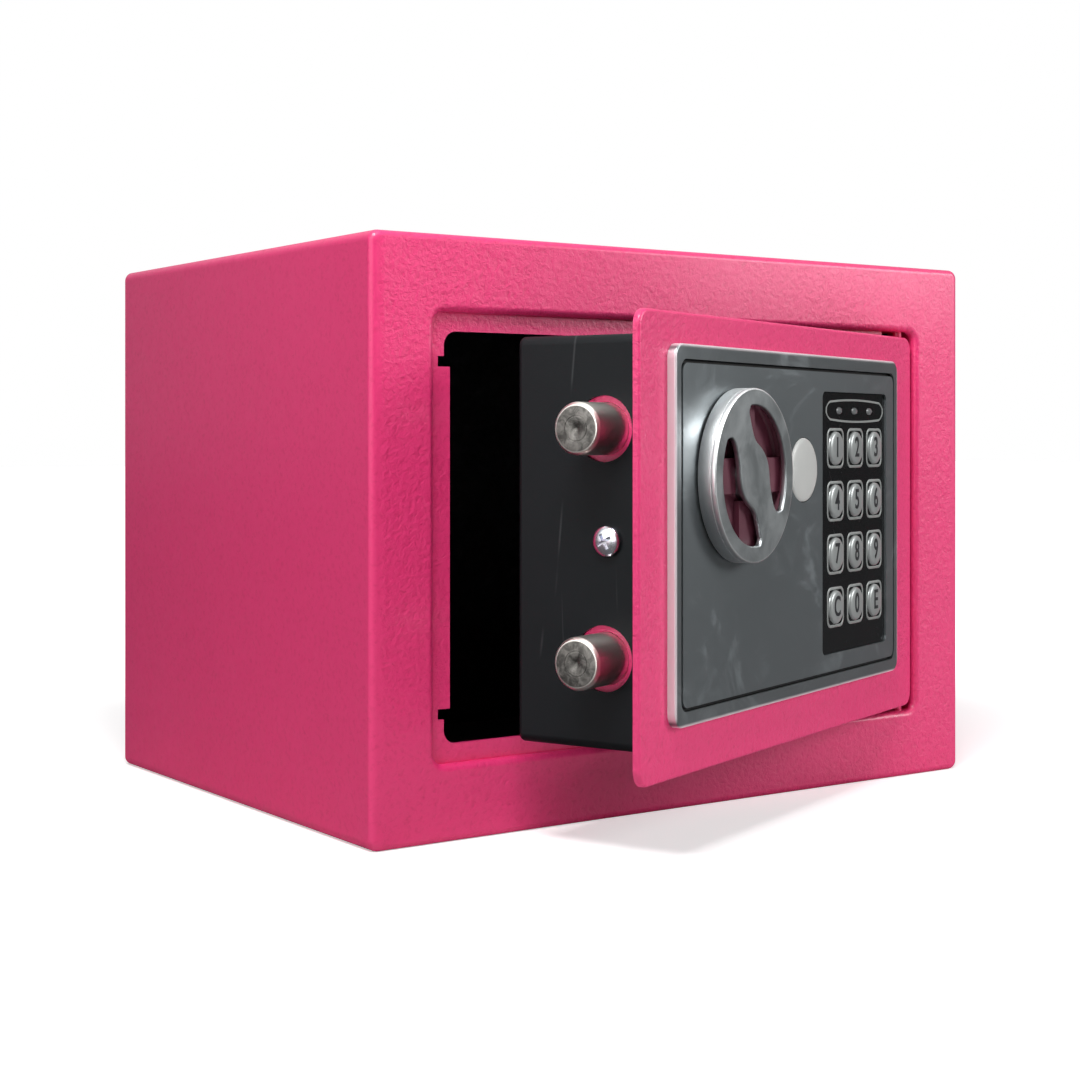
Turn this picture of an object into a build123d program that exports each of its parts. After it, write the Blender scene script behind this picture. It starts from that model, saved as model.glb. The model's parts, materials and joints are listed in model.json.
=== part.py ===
from build123d import *
from math import cos, pi, radians, sin
import os

os.makedirs("parts", exist_ok=True)

# A small steel safe with a keypad lock. Millimetres, +Z up, origin at the centre of the cabinet's
# underside, front face towards -Y. The door hangs on two pins at the right and stands part open.

# ---- cabinet ----
cabinet_width = 230.0
cabinet_depth = 170.0
cabinet_height = 170.0
sheet = 1.5               # steel of the cabinet and of the brackets
cabinet_corner = 3.0      # outside corner radius of the folded wrap
frame_turn = 4.0          # how far the front frame's rim turns back to meet the wrap
frame_edge = 2.0          # rounding of the front frame's outer edge
border_side = 20.5        # front face left and right of the opening
border_end = 21.7         # front face above and below the opening
opening_corner = 3.5
opening_bend = 2.0        # outer radius where the front face turns into the recess
recess_depth = 2.8        # front face to the ledge that the closed door rests on
ledge_side = 4.6          # ledge width at the free side
ledge_end = 5.3           # ledge width above and below
ledge_corner = 4.0        # rounding of the ledge's inner corners
strike_extra = 2.0        # how much further the strike flange stands in than the ledge
strike_end_gap = 10.0     # ledge corner to the strike flange's relief notch
notch_width = 3.0
pocket_width = 13.0       # part of the recess at the hinge side that has no ledge
pocket_depth = 13.0
anchor_hole = 10.0        # diameter of the wall and floor fixing holes
anchor_spacing = 120.0
felt = 1.5
felt_gap = 0.1

# ---- door ----
plate_gap_side = 2.3      # opening edge to closed door plate, hinge side
plate_gap_free = 3.1      # the same at the free edge
plate_gap_end = 2.0
plate = 2.0               # thickness of the door plate
plate_corner = 4.5
plate_edge = 0.9          # rounding of the door plate's front edge
open_angle = 22.4         # degrees that the door stands open
hinge_inset = 2.4         # pin axis from the door plate's hinge edge
hinge_setback = 4.0       # pin axis behind the door plate's front face
pin_radius = 1.5
pin_clearance = 0.05
ear = 2.5                 # thickness of the door's hinge ears
ear_drop = 1.2            # ear below the top edge of the door plate
bracket_plate = 3.0       # thickness of the doubler that carries each pin

# ---- front panel ----
panel_width = 151.2
panel_height = 100.6
panel_margin = 14.6       # door's free edge to the panel
panel_lift = 2.5          # panel centre above the door's centre
panel_depth = 2.5         # panel front above the door plate
panel_corner = 4.0
panel_floor = 0.8
rim_side = 3.0
rim_end = 4.0
groove = 1.0              # gap between rim and face plate
keypad_width = 49.2
keypad_height = 79.2
keypad_margin = 9.9       # keypad's hinge side to the panel's edge
keypad_drop = 0.6         # keypad plate below the panel's face
keypad_offset = 11.0      # keypad plate's top below the panel's top
key_pitch_x = 15.0
key_pitch_z = 16.15
key_radius = 5.1
key_clearance = 0.15
key_flange = 1.0          # how much wider the hidden flange is than the key
key_rise = 1.0            # key top above the keypad plate
key_travel = 0.8
led_pitch = 11.6
led_drop = 5.5            # indicator row below the keypad plate's top edge
board = 1.6

# ---- knob and bolt work ----
knob_radius = 24.0
knob_from_edge = 49.6     # knob axis from the door's free edge
knob_height = 102.7
knob_gap = 0.4            # knob to panel face
knob_length = 5.4
knob_wall = 1.5
knob_angle = 55.0         # degrees from drawn to thrown
spindle_radius = 4.0
spindle_clearance = 0.05
bolt_radius = 7.1
bolt_heights = (53.6, 115.5)
bolt_setback = 22.6       # bolt axis behind the door plate's front face
bolt_end = 5.9            # drawn bolt's end from the door's free edge
bolt_length = 32.0
bolt_chamfer = 1.0
bolt_guide_clearance = 0.1
bolt_travel = 9.0
neck_radius = 4.0
pin_slot_clearance = 0.15
drive_pin_radius = 2.0
carriage_setback = 12.5   # front of the carriage plate behind the door's front face
carriage = 2.0
stud_radius = 2.5
stud_slot_clearance = 0.2
plunger_radius = 2.5
plunger_travel = 4.0

# ---- lock cover ----
cover_setback = 20.0      # door's free edge to the cover
cover_width = 144.0
cover_gap_end = 2.0       # ledge to the cover's top and bottom
cover_depth = 50.2        # cover's back behind the door plate's front face
cover_wall = 1.2
cover_edge = 2.4
bolt_hole = 9.0           # radius of the cover's holes for the bolts
screw_height = 85.3
screw_setback = 21.2
screw_radius = 2.0

# ---- key lock and its cap ----
lock_from_edge = 93.1
lock_height = 103.6
cap_radius = 9.4
lock_radius = 8.0
plug_radius = 5.5
plug_clearance = 0.05

# ---- batteries ----
cell_radius = 7.0
cell_length = 50.0
cell_count = 4
cell_gap = 0.6
tray_wall = 1.5
lid = 1.5
lid_gap = 0.3

# ---- derived places, in the closed position ----
front_y = -cabinet_depth / 2
back_y = cabinet_depth / 2
mid_z = cabinet_height / 2
inside_width = cabinet_width - 2 * sheet
inside_height = cabinet_height - 2 * sheet
opening_width = cabinet_width - 2 * border_side
opening_height = cabinet_height - 2 * border_end
plate_height = opening_height - 2 * plate_gap_end
opening_right = opening_width / 2
plate_left = plate_gap_free - opening_right
plate_right = opening_right - plate_gap_side
plate_width = plate_right - plate_left
plate_top = mid_z + plate_height / 2
opening_top = mid_z + opening_height / 2
opening_bottom = mid_z - opening_height / 2
hinge_x = plate_right - hinge_inset
hinge_y = front_y + hinge_setback
ledge_back = recess_depth + sheet
strike_x = -opening_width / 2 + ledge_side + strike_extra
strike_depth = bolt_setback - bolt_radius - 0.5
strike_height = opening_height - 2 * ledge_end - 2 * strike_end_gap

panel_x = plate_left + panel_margin + panel_width / 2
panel_z = mid_z + panel_lift
face_width = panel_width - 2 * (rim_side + groove)
face_height = panel_height - 2 * (rim_end + groove)
keypad_x = panel_x + panel_width / 2 - keypad_margin - keypad_width / 2
keypad_z = panel_z + panel_height / 2 - keypad_offset - keypad_height / 2
keypad_front = panel_depth - keypad_drop
keys_x = keypad_x + 1.0
top_row_z = keypad_z + keypad_height / 2 - 17.0
led_z = keypad_z + keypad_height / 2 - led_drop

knob_x = plate_left + knob_from_edge
knob_z = knob_height
knob_base = panel_depth + knob_gap
crank = bolt_travel / (2 * sin(radians(knob_angle / 2)))
drive_pin_x = knob_x + crank * sin(radians(knob_angle / 2))
drive_pin_z = knob_z - crank * cos(radians(knob_angle / 2))
bolt_tip_x = plate_left + bolt_end
shoulder_x = bolt_tip_x + bolt_length
cover_left = plate_left + cover_setback
cover_right = cover_left + cover_width
cover_height = opening_height - 2 * ledge_end - 2 * cover_gap_end
lock_x = plate_left + lock_from_edge
lock_z = lock_height

door_swing = Pos(hinge_x, hinge_y, 0) * Rot(0, 0, open_angle) * Pos(-hinge_x, -hinge_y, 0)


def hung(plane):
    """A plane of the closed door, carried to where the door stands."""
    return Plane(door_swing * plane.location)


def facing(depth):
    """Parallel to the door, this far behind its front face. Local x, y are row X, Z; normal outwards."""
    return hung(Plane.XZ.offset(-front_y - depth))


def across(x):
    """Square to the door's width at x. Local x, y are row Y, Z; normal towards the hinge."""
    return hung(Plane.YZ.offset(x))


def level(z):
    """Level plane carried by the door. Local x, y are row X, Y."""
    return hung(Plane.XY.offset(z))


def front(depth):
    """Parallel to the cabinet's front, this far behind it. Local x, y are row X, Z; normal outwards."""
    return Plane.XZ.offset(-front_y - depth)


# ======== cabinet ========
with BuildPart() as cabinet_shell:
    with BuildSketch(front(frame_turn)):
        with Locations((0, mid_z)):
            RectangleRounded(cabinet_width, cabinet_height, cabinet_corner)
            RectangleRounded(inside_width, inside_height, cabinet_corner - sheet, mode=Mode.SUBTRACT)
    extrude(amount=-(cabinet_depth - frame_turn))
    with BuildSketch(Plane.XY):
        with GridLocations(anchor_spacing, 1, 2, 1):
            Circle(anchor_hole / 2)
    extrude(amount=2 * sheet, mode=Mode.SUBTRACT)
cabinet_shell.part.label = "cabinet_shell"
export_step(cabinet_shell.part, "parts/cabinet_shell.step")

with BuildPart() as front_frame:
    # face with its rim turned back
    with BuildSketch(front(0)):
        with Locations((0, mid_z)):
            RectangleRounded(cabinet_width, cabinet_height, cabinet_corner)
    extrude(amount=-frame_turn)
    fillet(front_frame.faces().sort_by(Axis.Y)[0].edges(), frame_edge)
    with BuildSketch(front(sheet)):
        with Locations((0, mid_z)):
            RectangleRounded(inside_width, inside_height, cabinet_corner - sheet)
    extrude(amount=-frame_turn, mode=Mode.SUBTRACT)
    # drawn recess with its ledge, and the deeper pocket at the hinge side
    with BuildSketch(front(0)):
        with Locations((0, mid_z)):
            RectangleRounded(opening_width + 2 * sheet, opening_height + 2 * sheet, opening_corner + sheet)
    extrude(amount=-ledge_back)
    with BuildSketch(front(ledge_back)):
        with Locations((opening_right - pocket_width / 2, mid_z)):
            Rectangle(pocket_width + 2 * sheet, opening_height + 2 * sheet)
    extrude(amount=-(pocket_depth - ledge_back))
    with BuildSketch(front(0)):
        with Locations((0, mid_z)):
            RectangleRounded(opening_width, opening_height, opening_corner)
    extrude(amount=-recess_depth, mode=Mode.SUBTRACT)
    with BuildSketch(front(0)):
        with Locations((ledge_side / 2, mid_z)):
            RectangleRounded(opening_width - ledge_side, opening_height - 2 * ledge_end, ledge_corner)
    extrude(amount=-ledge_back, mode=Mode.SUBTRACT)
    with BuildSketch(front(recess_depth)):
        with Locations((opening_right - pocket_width / 2, mid_z)):
            Rectangle(pocket_width, opening_height)
    extrude(amount=-pocket_depth, mode=Mode.SUBTRACT)
    # strike flange folded back behind the ledge, with a relief notch at each end
    with BuildSketch(front(recess_depth)):
        with Locations((strike_x - (strike_extra + sheet) / 2, mid_z)):
            Rectangle(strike_extra + sheet, strike_height)
    extrude(amount=-sheet)
    with BuildSketch(front(recess_depth)):
        with Locations((strike_x - sheet / 2, mid_z)):
            Rectangle(sheet, strike_height)
    extrude(amount=-(strike_depth - recess_depth))
    with BuildSketch(front(recess_depth)):
        with Locations((strike_x - strike_extra, mid_z)):
            with GridLocations(1, strike_height + notch_width, 1, 2):
                Rectangle(2 * strike_extra, notch_width)
    extrude(amount=-sheet, mode=Mode.SUBTRACT)
    with BuildSketch(Plane.XY):
        with Locations((hinge_x, hinge_y)):
            Circle(pin_radius)
    extrude(amount=cabinet_height, mode=Mode.SUBTRACT)
    # the outer bend round the opening
    opening_edges = front_frame.faces().sort_by(Axis.Y)[0].inner_wires()[0].edges()
    fillet(opening_edges, opening_bend)
front_frame.part.label = "front_frame"
export_step(front_frame.part, "parts/front_frame.step")

with BuildPart() as back_panel:
    with BuildSketch(front(cabinet_depth - sheet)):
        with Locations((0, mid_z)):
            RectangleRounded(inside_width, inside_height, cabinet_corner - sheet)
            with GridLocations(anchor_spacing, 1, 2, 1):
                Circle(anchor_hole / 2, mode=Mode.SUBTRACT)
    extrude(amount=-sheet)
back_panel.part.label = "back_panel"
export_step(back_panel.part, "parts/back_panel.step")

doubler_length = 16.0
doubler_depth = 10.0
with BuildPart() as hinge_doublers:
    for low_z in (opening_bottom - sheet - bracket_plate, opening_top + sheet):
        with BuildSketch(Plane.XY.offset(low_z)):
            with Locations((hinge_x - doubler_length / 4, front_y + sheet + doubler_depth / 2)):
                RectangleRounded(doubler_length, doubler_depth, 1)
            with Locations((hinge_x, hinge_y)):
                Circle(pin_radius, mode=Mode.SUBTRACT)
        extrude(amount=bracket_plate)
hinge_doublers.part.label = "hinge_doublers"
export_step(hinge_doublers.part, "parts/hinge_doublers.step")

pin_head = 1.0
ear_top_z = plate_top - ear_drop
pin_reach = opening_top + sheet + bracket_plate - (ear_top_z - ear) + 0.6
with BuildPart() as hinge_pins:
    with BuildSketch(Plane.XY.offset(opening_top + sheet + bracket_plate)):
        with Locations((hinge_x, hinge_y)):
            Circle(pin_radius)
    extrude(amount=-pin_reach)
    with BuildSketch(Plane.XY.offset(opening_top + sheet + bracket_plate)):
        with Locations((hinge_x, hinge_y)):
            Circle(pin_radius + 1)
    extrude(amount=pin_head)
    mirror(about=Plane.XY.offset(mid_z))
hinge_pins.part.label = "hinge_pins"
export_step(hinge_pins.part, "parts/hinge_pins.step")

# ---- felt lining, cut clear of the anchor holes ----
inner_width = inside_width - 2 * felt_gap
felt_front = front_y + pocket_depth + 1
felt_back = back_y - sheet - felt_gap
felt_length = felt_back - felt_front
felt_z = sheet + felt_gap
mat_width = inner_width - 2 * felt - 2 * felt_gap
side_felt_height = cabinet_height - 2 * (felt_z + felt + felt_gap)
with BuildPart() as floor_mat:
    with BuildSketch(Plane.XY.offset(felt_z)):
        with Locations((0, felt_front + felt_length / 2)):
            Rectangle(mat_width, felt_length)
        with GridLocations(anchor_spacing, 1, 2, 1):
            Circle(anchor_hole / 2 + 2, mode=Mode.SUBTRACT)
    extrude(amount=felt)
floor_mat.part.label = "floor_mat"
export_step(floor_mat.part, "parts/floor_mat.step")

with BuildPart() as lining_top:
    with BuildSketch(Plane.XY.offset(cabinet_height - felt_z - felt)):
        with Locations((0, felt_front + felt_length / 2)):
            Rectangle(mat_width, felt_length)
    extrude(amount=felt)
lining_top.part.label = "lining_top"
export_step(lining_top.part, "parts/lining_top.step")

with BuildPart() as lining_sides:
    for side in (-1, 1):
        with BuildSketch(Plane.YZ.offset(side * (inner_width / 2 - felt / 2) - felt / 2)):
            with Locations((felt_front + felt_length / 2, mid_z)):
                Rectangle(felt_length, side_felt_height)
        extrude(amount=felt)
lining_sides.part.label = "lining_sides"
export_step(lining_sides.part, "parts/lining_sides.step")

with BuildPart() as lining_back:
    with BuildSketch(Plane.XZ.offset(-felt_back)):
        with Locations((0, mid_z)):
            Rectangle(mat_width, side_felt_height)
            with GridLocations(anchor_spacing, 1, 2, 1):
                Circle(anchor_hole / 2 + 2, mode=Mode.SUBTRACT)
    extrude(amount=felt)
lining_back.part.label = "lining_back"
export_step(lining_back.part, "parts/lining_back.step")

# ======== door ========
outward = Axis((0, 0, 0), facing(0).z_dir)
window_width = keypad_width - 4
window_height = keypad_height - 4
sleeve_radius = spindle_radius + 2

with BuildPart() as door_plate:
    with BuildSketch(facing(0)):
        with Locations(((plate_left + plate_right) / 2, mid_z)):
            RectangleRounded(plate_width, plate_height, plate_corner)
    extrude(amount=-plate)
    fillet(door_plate.faces().sort_by(outward)[-1].edges(), plate_edge)
    with BuildSketch(facing(0)):
        with Locations((keypad_x, keypad_z)):
            Rectangle(window_width, window_height)
        with Locations((knob_x, knob_z)):
            Circle(sleeve_radius)
        with Locations((lock_x, lock_z)):
            Circle(lock_radius)
    extrude(amount=-plate, mode=Mode.SUBTRACT)
door_plate.part.label = "door_plate"
export_step(door_plate.part, "parts/door_plate.step")

ear_length = 10.0
ear_reach = 2 * (hinge_setback - plate) + 1.0
foot_length = 14.0
foot_height = 12.0
foot_x = plate_right - ear_length + 5 - foot_length / 2
with BuildPart() as door_hinge_ears:
    with BuildSketch(level(ear_top_z - ear)):
        with Locations((plate_right - ear_length / 2, front_y + plate + ear_reach / 2)):
            Rectangle(ear_length, ear_reach)
    extrude(amount=ear)
    fillet(door_hinge_ears.edges().filter_by(Axis.Z).group_by(outward)[0], 2)
    with BuildSketch(level(ear_top_z - ear)):
        with Locations((hinge_x, hinge_y)):
            Circle(pin_radius + pin_clearance)
    extrude(amount=ear, mode=Mode.SUBTRACT)
    with BuildSketch(facing(plate)):
        with Locations((foot_x, ear_top_z - ear - foot_height / 2)):
            Rectangle(foot_length, foot_height)
    extrude(amount=-sheet)
    mirror(about=Plane.XY.offset(mid_z))
door_hinge_ears.part.label = "door_hinge_ears"
export_step(door_hinge_ears.part, "parts/door_hinge_ears.step")

# ---- front panel ----
with BuildPart() as panel_bezel:
    with BuildSketch(facing(-panel_depth)):
        with Locations((panel_x, panel_z)):
            RectangleRounded(panel_width, panel_height, panel_corner)
    extrude(amount=-panel_depth)
    fillet(panel_bezel.faces().sort_by(outward)[-1].edges(), 0.5)
    with BuildSketch(facing(-panel_depth)):
        with Locations((panel_x, panel_z)):
            RectangleRounded(panel_width - 2 * rim_side, panel_height - 2 * rim_end, panel_corner - 1)
    extrude(amount=-(panel_depth - panel_floor), mode=Mode.SUBTRACT)
    with BuildSketch(facing(-panel_floor)):
        with Locations((keypad_x, keypad_z)):
            Rectangle(window_width, window_height)
        with Locations((knob_x, knob_z)):
            Circle(sleeve_radius)
        with Locations((lock_x, lock_z)):
            Circle(lock_radius)
    extrude(amount=-panel_floor, mode=Mode.SUBTRACT)
panel_bezel.part.label = "panel_bezel"
export_step(panel_bezel.part, "parts/panel_bezel.step")

with BuildPart() as panel_face:
    with BuildSketch(facing(-panel_depth)):
        with Locations((panel_x, panel_z)):
            RectangleRounded(face_width, face_height, panel_corner - 1.5)
        with Locations((keypad_x, keypad_z)):
            RectangleRounded(keypad_width + 0.3, keypad_height + 0.3, 2, mode=Mode.SUBTRACT)
        with Locations((knob_x, knob_z)):
            Circle(spindle_radius + 0.6, mode=Mode.SUBTRACT)
        with Locations((lock_x, lock_z)):
            Circle(cap_radius + 0.2, mode=Mode.SUBTRACT)
    extrude(amount=-(panel_depth - panel_floor))
panel_face.part.label = "panel_face"
export_step(panel_face.part, "parts/panel_face.step")

key_names = ("1", "2", "3", "4", "5", "6", "7", "8", "9", "c", "0", "e")
key_places = [
    (keys_x + (i % 3 - 1) * key_pitch_x, top_row_z - (i // 3) * key_pitch_z) for i in range(len(key_names))
]
led_places = [(keys_x + i * led_pitch, led_z) for i in (-1, 0, 1)]
led_length = 5.0
led_height = 2.2
with BuildPart() as keypad_plate:
    with BuildSketch(facing(-keypad_front)):
        with Locations((keypad_x, keypad_z)):
            RectangleRounded(keypad_width, keypad_height, 1.9)
        with Locations(key_places):
            Circle(key_radius + key_clearance, mode=Mode.SUBTRACT)
        with Locations(led_places):
            SlotOverall(led_length, led_height, mode=Mode.SUBTRACT)
    extrude(amount=-(keypad_front - panel_floor))
keypad_plate.part.label = "keypad_plate"
export_step(keypad_plate.part, "parts/keypad_plate.step")

with BuildPart() as led_lenses:
    with BuildSketch(facing(-keypad_front)):
        with Locations(led_places):
            SlotOverall(led_length, led_height)
    extrude(amount=-(keypad_front - panel_floor))
led_lenses.part.label = "led_lenses"
export_step(led_lenses.part, "parts/led_lenses.step")

key_top = keypad_front + key_rise
flange_front = panel_floor - 0.1
flange_back = flange_front - 1.2
post_end = flange_back - 0.8
for name, place in zip(key_names, key_places):
    with BuildPart() as key:
        with BuildSketch(facing(-key_top)):
            with Locations(place):
                Circle(key_radius)
        extrude(amount=-(key_top - flange_front))
        fillet(key.faces().sort_by(outward)[-1].edges(), 0.6)
        with BuildSketch(facing(-flange_front)):
            with Locations(place):
                Circle(key_radius + key_flange)
        extrude(amount=-(flange_front - flange_back))
        with BuildSketch(facing(-flange_back)):
            with Locations(place):
                Circle(2)
        extrude(amount=-(flange_back - post_end))
    key.part.label = f"key_{name}"
    export_step(key.part, f"parts/key_{name}.step")

mat = 1.0
mat_front = max(plate, key_travel - post_end) + 0.1
with BuildPart() as key_mat:
    with BuildSketch(facing(mat_front)):
        with Locations((keypad_x, keypad_z)):
            RectangleRounded(keypad_width - 1, keypad_height - 3, 2)
    extrude(amount=-mat)
key_mat.part.label = "key_mat"
export_step(key_mat.part, "parts/key_mat.step")

board_front = mat_front + mat
board_back = board_front + board
with BuildPart() as circuit_board:
    with BuildSketch(facing(board_front)):
        with Locations((keypad_x, keypad_z)):
            RectangleRounded(keypad_width + 3, keypad_height + 1, 1)
    extrude(amount=-board)
    with BuildSketch(facing(board_back)):
        with Locations((keypad_x - 8, keypad_z + 12)):
            Rectangle(12, 8)
        with Locations((keypad_x + 12, keypad_z + 22)):
            Circle(3.5)
        with Locations((keypad_x + 10, keypad_z - 22)):
            Rectangle(10, 5)
    extrude(amount=-3)
circuit_board.part.label = "circuit_board"
export_step(circuit_board.part, "parts/circuit_board.step")

# ---- knob ----
knob_front = knob_base + knob_length
hub_radius = 7.0
slot_reach = knob_radius * 0.8
face_thickness = 1.3
with BuildPart() as knob:
    with BuildSketch(facing(-knob_front)):
        with Locations((knob_x, knob_z)):
            Circle(knob_radius)
    extrude(amount=-knob_length)
    fillet(knob.faces().sort_by(outward)[-1].edges(), 0.6)
    with BuildSketch(facing(-(knob_front - face_thickness))):
        with Locations((knob_x, knob_z)):
            Circle(knob_radius - knob_wall)
            Circle(hub_radius, mode=Mode.SUBTRACT)
    extrude(amount=-knob_length, mode=Mode.SUBTRACT)
    with BuildSketch(facing(-(knob_front - face_thickness))):
        with Locations((knob_x, knob_z)):
            Circle(spindle_radius)
    extrude(amount=-knob_length, mode=Mode.SUBTRACT)
    # two comma-shaped slots leave a wavy grip bar across the face
    with BuildSketch(facing(-knob_front)) as slots:
        for turn in (0, 180):
            with BuildLine(Location((knob_x, knob_z, 0), (0, 0, turn))):
                rim_arc = CenterArc((0, 0), slot_reach, -32, 129)
                tail = Line(rim_arc @ 0, (hub_radius + 3.0, -5.5))
                swell = ThreePointArc(tail @ 1, (hub_radius + 1.1, 2.6), (hub_radius - 3.6, 8.6))
                Line(swell @ 1, rim_arc @ 1)
            make_face()
        fillet(slots.vertices(), 1.0)
    extrude(amount=-face_thickness, mode=Mode.SUBTRACT)
knob.part.label = "knob"
export_step(knob.part, "parts/knob.step")

insert_radius = knob_radius - knob_wall - 0.05
insert_floor = 1.0
insert_top = knob_front - face_thickness
rib_length = insert_radius - hub_radius - 2
with BuildPart() as knob_insert:
    with BuildSketch(facing(-insert_top)):
        with Locations((knob_x, knob_z)):
            Circle(insert_radius)
            Circle(insert_radius - 1, mode=Mode.SUBTRACT)
            with PolarLocations(hub_radius + 1.5 + rib_length / 2, 8, 22.5):
                Rectangle(rib_length, 1)
    extrude(amount=-(insert_top - knob_base))
    with BuildSketch(facing(-(knob_base + insert_floor))):
        with Locations((knob_x, knob_z)):
            Circle(insert_radius)
            Circle(hub_radius + 0.05, mode=Mode.SUBTRACT)
    extrude(amount=-insert_floor)
knob_insert.part.label = "knob_insert"
export_step(knob_insert.part, "parts/knob_insert.step")

sleeve_back = 6.0
clip = 1.0
clip_front = sleeve_back + 0.2
cam = 3.0
cam_front = carriage_setback - cam - 1.0
with BuildPart() as knob_spindle:
    with BuildSketch(facing(-(insert_top - 0.1))):
        with Locations((knob_x, knob_z)):
            Circle(spindle_radius)
    extrude(amount=-(insert_top - 0.1 + cam_front + cam))
    with BuildSketch(facing(clip_front)):
        with Locations((knob_x, knob_z)):
            Circle(spindle_radius)
            Circle(spindle_radius - 0.5, mode=Mode.SUBTRACT)
    extrude(amount=-clip, mode=Mode.SUBTRACT)
knob_spindle.part.label = "knob_spindle"
export_step(knob_spindle.part, "parts/knob_spindle.step")

with BuildPart() as knob_bushing:
    with BuildSketch(facing(-panel_floor)):
        with Locations((knob_x, knob_z)):
            Circle(sleeve_radius)
    extrude(amount=-(panel_floor + sleeve_back))
    with BuildSketch(facing(plate)):
        with Locations((knob_x, knob_z)):
            Circle(sleeve_radius + 2.5)
    extrude(amount=-2)
    with BuildSketch(facing(-panel_floor)):
        with Locations((knob_x, knob_z)):
            Circle(spindle_radius + spindle_clearance)
    extrude(amount=-(panel_floor + sleeve_back), mode=Mode.SUBTRACT)
knob_bushing.part.label = "knob_bushing"
export_step(knob_bushing.part, "parts/knob_bushing.step")

with BuildPart() as knob_circlip:
    with BuildSketch(facing(clip_front)):
        with Locations((knob_x, knob_z)):
            Circle(spindle_radius + 2)
            Circle(spindle_radius - 0.5, mode=Mode.SUBTRACT)
        with Locations((knob_x, knob_z + spindle_radius)):
            Rectangle(4, 6, mode=Mode.SUBTRACT)
    extrude(amount=-clip)
knob_circlip.part.label = "knob_circlip"
export_step(knob_circlip.part, "parts/knob_circlip.step")

with BuildPart() as drive_cam:
    with BuildSketch(facing(cam_front)):
        with Locations((knob_x, knob_z)):
            Circle(spindle_radius + 3)
        with Locations((drive_pin_x, drive_pin_z)):
            Circle(drive_pin_radius + 2)
        make_hull()
        with Locations((knob_x, knob_z)):
            Circle(spindle_radius, mode=Mode.SUBTRACT)
    extrude(amount=-cam)
    with BuildSketch(facing(cam_front + cam)):
        with Locations((drive_pin_x, drive_pin_z)):
            Circle(drive_pin_radius)
    extrude(amount=-(1.0 + carriage + 0.6))
drive_cam.part.label = "drive_cam"
export_step(drive_cam.part, "parts/drive_cam.step")

# ---- bolt work ----
guide_left = cover_left + cover_wall + 0.2
guide_height = cover_height - 2 * cover_wall - 6
guide_depth = bolt_setback + bolt_radius + 10
guide_base = 47.0
bolt_y = front_y + bolt_setback
stud_x = plate_left + 57.0
stud_heights = (min(bolt_heights) + 6.5, max(bolt_heights) + 6.5)
with BuildPart() as inner_frame:
    with BuildSketch(across(guide_left)):
        with Locations((front_y + plate + (guide_depth - plate) / 2, mid_z)):
            RectangleRounded(guide_depth - plate, guide_height, 1.4)
    extrude(amount=sheet)
    with BuildSketch(facing(plate)):
        with Locations((guide_left + guide_base / 2, mid_z)):
            Rectangle(guide_base, guide_height)
    extrude(amount=-sheet)
    with BuildSketch(across(guide_left)):
        with Locations([(bolt_y, z) for z in bolt_heights]):
            Circle(bolt_radius + bolt_guide_clearance)
        with Locations((front_y + screw_setback, screw_height)):
            Circle(screw_radius)
    extrude(amount=sheet, mode=Mode.SUBTRACT)
    with BuildSketch(facing(plate)):
        with Locations((knob_x, knob_z)):
            Circle(sleeve_radius + 3)
        with Locations([(stud_x, z) for z in stud_heights]):
            Circle(stud_radius - 0.5)
    extrude(amount=-sheet, mode=Mode.SUBTRACT)
inner_frame.part.label = "inner_frame"
export_step(inner_frame.part, "parts/inner_frame.step")

stud_back = carriage_setback + carriage + 0.4
with BuildPart() as guide_studs:
    for radius, start, length in (
        (stud_radius - 0.5, plate, sheet),
        (stud_radius, plate + sheet, stud_back - plate - sheet),
        (stud_radius + 1.7, stud_back, 1.5),
    ):
        with BuildSketch(facing(start)):
            with Locations([(stud_x, z) for z in stud_heights]):
                Circle(radius)
        extrude(amount=-length)
guide_studs.part.label = "guide_studs"
export_step(guide_studs.part, "parts/guide_studs.step")

carriage_right = stud_x + bolt_travel + 5.5
carriage_low = min(bolt_heights) - 9.5
carriage_high = max(bolt_heights) + 11.5
plunger_x = plate_left + 84.0
tab_low = 76.0
tab_high = 84.0
tab_right = plunger_x - plunger_radius - 0.3 + bolt_travel
stud_slot = stud_radius + stud_slot_clearance
drive_slot = drive_pin_radius + pin_slot_clearance
ear_back = bolt_setback + bolt_radius + 1.5
with BuildPart() as bolt_carriage:
    with BuildSketch(facing(carriage_setback)):
        with Locations(((shoulder_x + carriage_right) / 2, (carriage_low + carriage_high) / 2)):
            RectangleRounded(carriage_right - shoulder_x, carriage_high - carriage_low, 2)
        with Locations(((carriage_right + tab_right) / 2 - 2, (tab_low + tab_high) / 2)):
            Rectangle(tab_right - carriage_right + 4, tab_high - tab_low)
        with Locations([(stud_x + bolt_travel / 2, z) for z in stud_heights]):
            SlotOverall(bolt_travel + 2 * stud_slot, 2 * stud_slot, mode=Mode.SUBTRACT)
        with Locations((drive_pin_x, (drive_pin_z + knob_z - crank) / 2)):
            Rectangle(2 * drive_slot, drive_pin_z - knob_z + crank + 2 * drive_slot + 0.8, mode=Mode.SUBTRACT)
        with Locations((plunger_x, tab_low)):
            Rectangle(2 * plunger_radius + 1.4, 2 * (plunger_travel + 0.6), mode=Mode.SUBTRACT)
    extrude(amount=-carriage)
    with BuildSketch(across(shoulder_x)):
        with Locations([(front_y + (carriage_setback + ear_back) / 2, z) for z in bolt_heights]):
            Rectangle(ear_back - carriage_setback, 18)
        with Locations([(bolt_y, z) for z in bolt_heights]):
            Circle(neck_radius, mode=Mode.SUBTRACT)
    extrude(amount=carriage)
bolt_carriage.part.label = "bolt_carriage"
export_step(bolt_carriage.part, "parts/bolt_carriage.step")

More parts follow.
